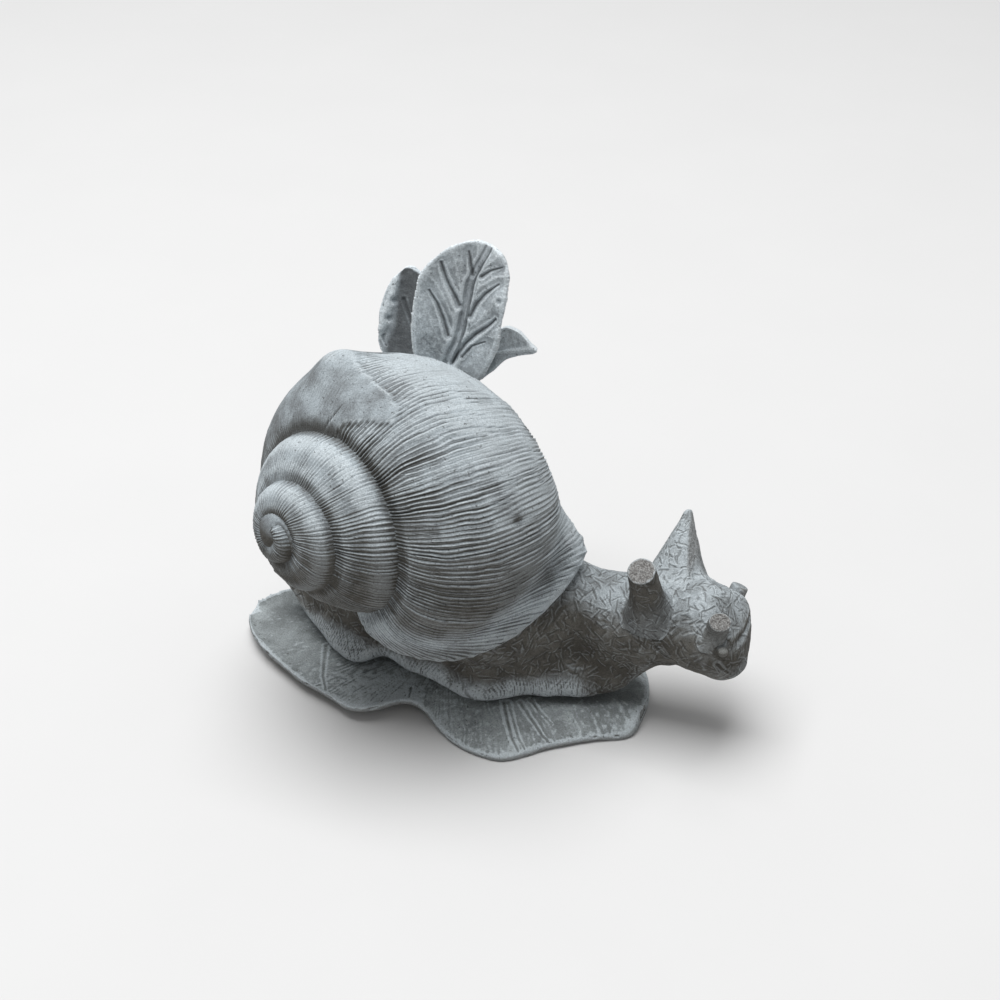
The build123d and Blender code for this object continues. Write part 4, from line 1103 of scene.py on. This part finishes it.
def carvePointed(points, front):
    rib = bell(lineDistance(points, sprig["pointedRib"])[0], 1.6)
    hollow = softSpot(points, sprig["pointedHollow"], 5.0)
    return (1.0 * rib - 0.8 * hollow) * front, 0.25 + 0.4 * rib - 0.8 * hollow


carving = {"leafTall": carveTall, "leafCurled": carveCurled, "leafPointed": carvePointed}


def bendLeaf(name, points, moved):  # small bends of a leaf's outline
    for leaf, axis, distance, fades in sprig["bends"]:
        if leaf == name:
            for fadeAxis, start, end in fades:
                distance = distance * fadeIn(points[:, fadeAxis], start, end)
            moved[:, axis] += distance
    if name == "leafTall":
        waist = bell(points[:, 2] - sprig["waistHeight"], sprig["waistReach"])
        moved[:, 0] -= sprig["waistDepth"] * fadeIn(points[:, 0], 0.0, 10.0) * waist
    return moved


def makeSprig():
    for number, (node, name, cell) in enumerate(sprig["pieces"]):
        piece = skinOver(node, name, cell, 2)
        points, normals = readPoints(piece)
        relief = 0.4 * roughNoise(points, 9.0, 111 + number) + 0.12 * roughNoise(points, 2.2, 121 + number)
        shade = np.zeros(len(points))
        if name in carving:
            facing = normals @ np.array(sprig["front"])
            # the shade mark is painted shade: darker along the veins and in the hollows, paler on ribs and rims
            cuts, shade = carving[name](points, fadeIn(facing, 0.0, 0.35))
            relief += cuts
            rim = fadeIn(np.abs(facing), 0.6, 0.2)
            worn = 0.6 * np.maximum(roughNoise(points, 3.0, 131 + number), 0)
            relief -= rim * (worn + 1.0 * roughNoise(points, 13.0, 135 + number))
            shade = shade + 0.12 * rim
        writePoints(piece, bendLeaf(name, points, points + normals * relief[:, None]))
        markWear(piece, extraWide=shade)
        finishPiece(piece, node, sprigStone)


makeSprig()
print("sprig carved")


# Camera, light and floor

view = {
    "target": (0.0, 0.0, 0.09), "distance": 1.12, "heading": 20.0, "height": 36.0, "lens": 67.18,
    "shiftRight": 0.05, "shiftUp": 0.06,
}
studio = {
    "panelPlace": (-0.42, 0.02, 3.2), "panelSize": 2.4, "panelPower": 130.0, "roomLight": 0.38,
    "floorDark": (0.622, 0.622, 0.622), "floorPale": (0.642, 0.642, 0.642), "floorHalf": 4000, "floorDrop": 0.05,
}


def aimAt(thing, place, target):
    thing.location = place
    thing.rotation_euler = (Vector(target) - Vector(place)).to_track_quat("-Z", "Y").to_euler()


def makeCamera():
    camera = bpy.data.objects.new("photoCamera", bpy.data.cameras.new("photoCamera"))
    bpy.context.scene.collection.objects.link(camera)
    heading, height = math.radians(view["heading"]), math.radians(view["height"])
    way = Vector((math.sin(heading) * math.cos(height), -math.cos(heading) * math.cos(height), math.sin(height)))
    aimAt(camera, Vector(view["target"]) + way * view["distance"], view["target"])
    camera.data.lens = view["lens"]
    camera.data.shift_x = view["shiftRight"]
    camera.data.shift_y = view["shiftUp"]
    camera.data.clip_start = 0.05
    bpy.context.scene.camera = camera


def makePanel():
    lamp = bpy.data.lights.new("skyPanel", "AREA")
    lamp.shape = "SQUARE"
    lamp.size = studio["panelSize"]
    lamp.energy = studio["panelPower"]
    light = bpy.data.objects.new("skyPanel", lamp)
    bpy.context.scene.collection.objects.link(light)
    aimAt(light, studio["panelPlace"], (0, 0, 0.05))


def makeRoom():
    world = bpy.data.worlds.new("studioRoom")
    world.use_nodes = True
    background = world.node_tree.nodes["Background"]
    background.inputs[0].default_value = (1.0, 1.0, 1.0, 1.0)
    background.inputs[1].default_value = studio["roomLight"]
    bpy.context.scene.world = world
    bpy.context.scene.view_settings.view_transform = "Standard"


def makeFloor():
    half, low = studio["floorHalf"], -studio["floorDrop"]
    floor = makeMesh("paleFloor", [(-half, -half, low), (half, -half, low), (half, half, low), (-half, half, low)],
                     [(0, 1, 2, 3)])
    material = bpy.data.materials.new("paleFloor")
    material.use_nodes = True
    tree = material.node_tree
    shader = tree.nodes["Principled BSDF"]
    cloud = addNoise(tree, addNode(tree, "ShaderNodeTexCoord").outputs["Object"], 9.0, 3.0).outputs["Fac"]
    tree.links.new(blendColour(tree, cloud, studio["floorDark"], studio["floorPale"]), shader.inputs["Base Color"])
    shader.inputs["Roughness"].default_value = 0.9
    shader.inputs["Specular IOR Level"].default_value = 0.1
    floor.data.materials.append(material)


makeCamera()
makeFloor()
makePanel()
makeRoom()
print("camera, light and floor set")
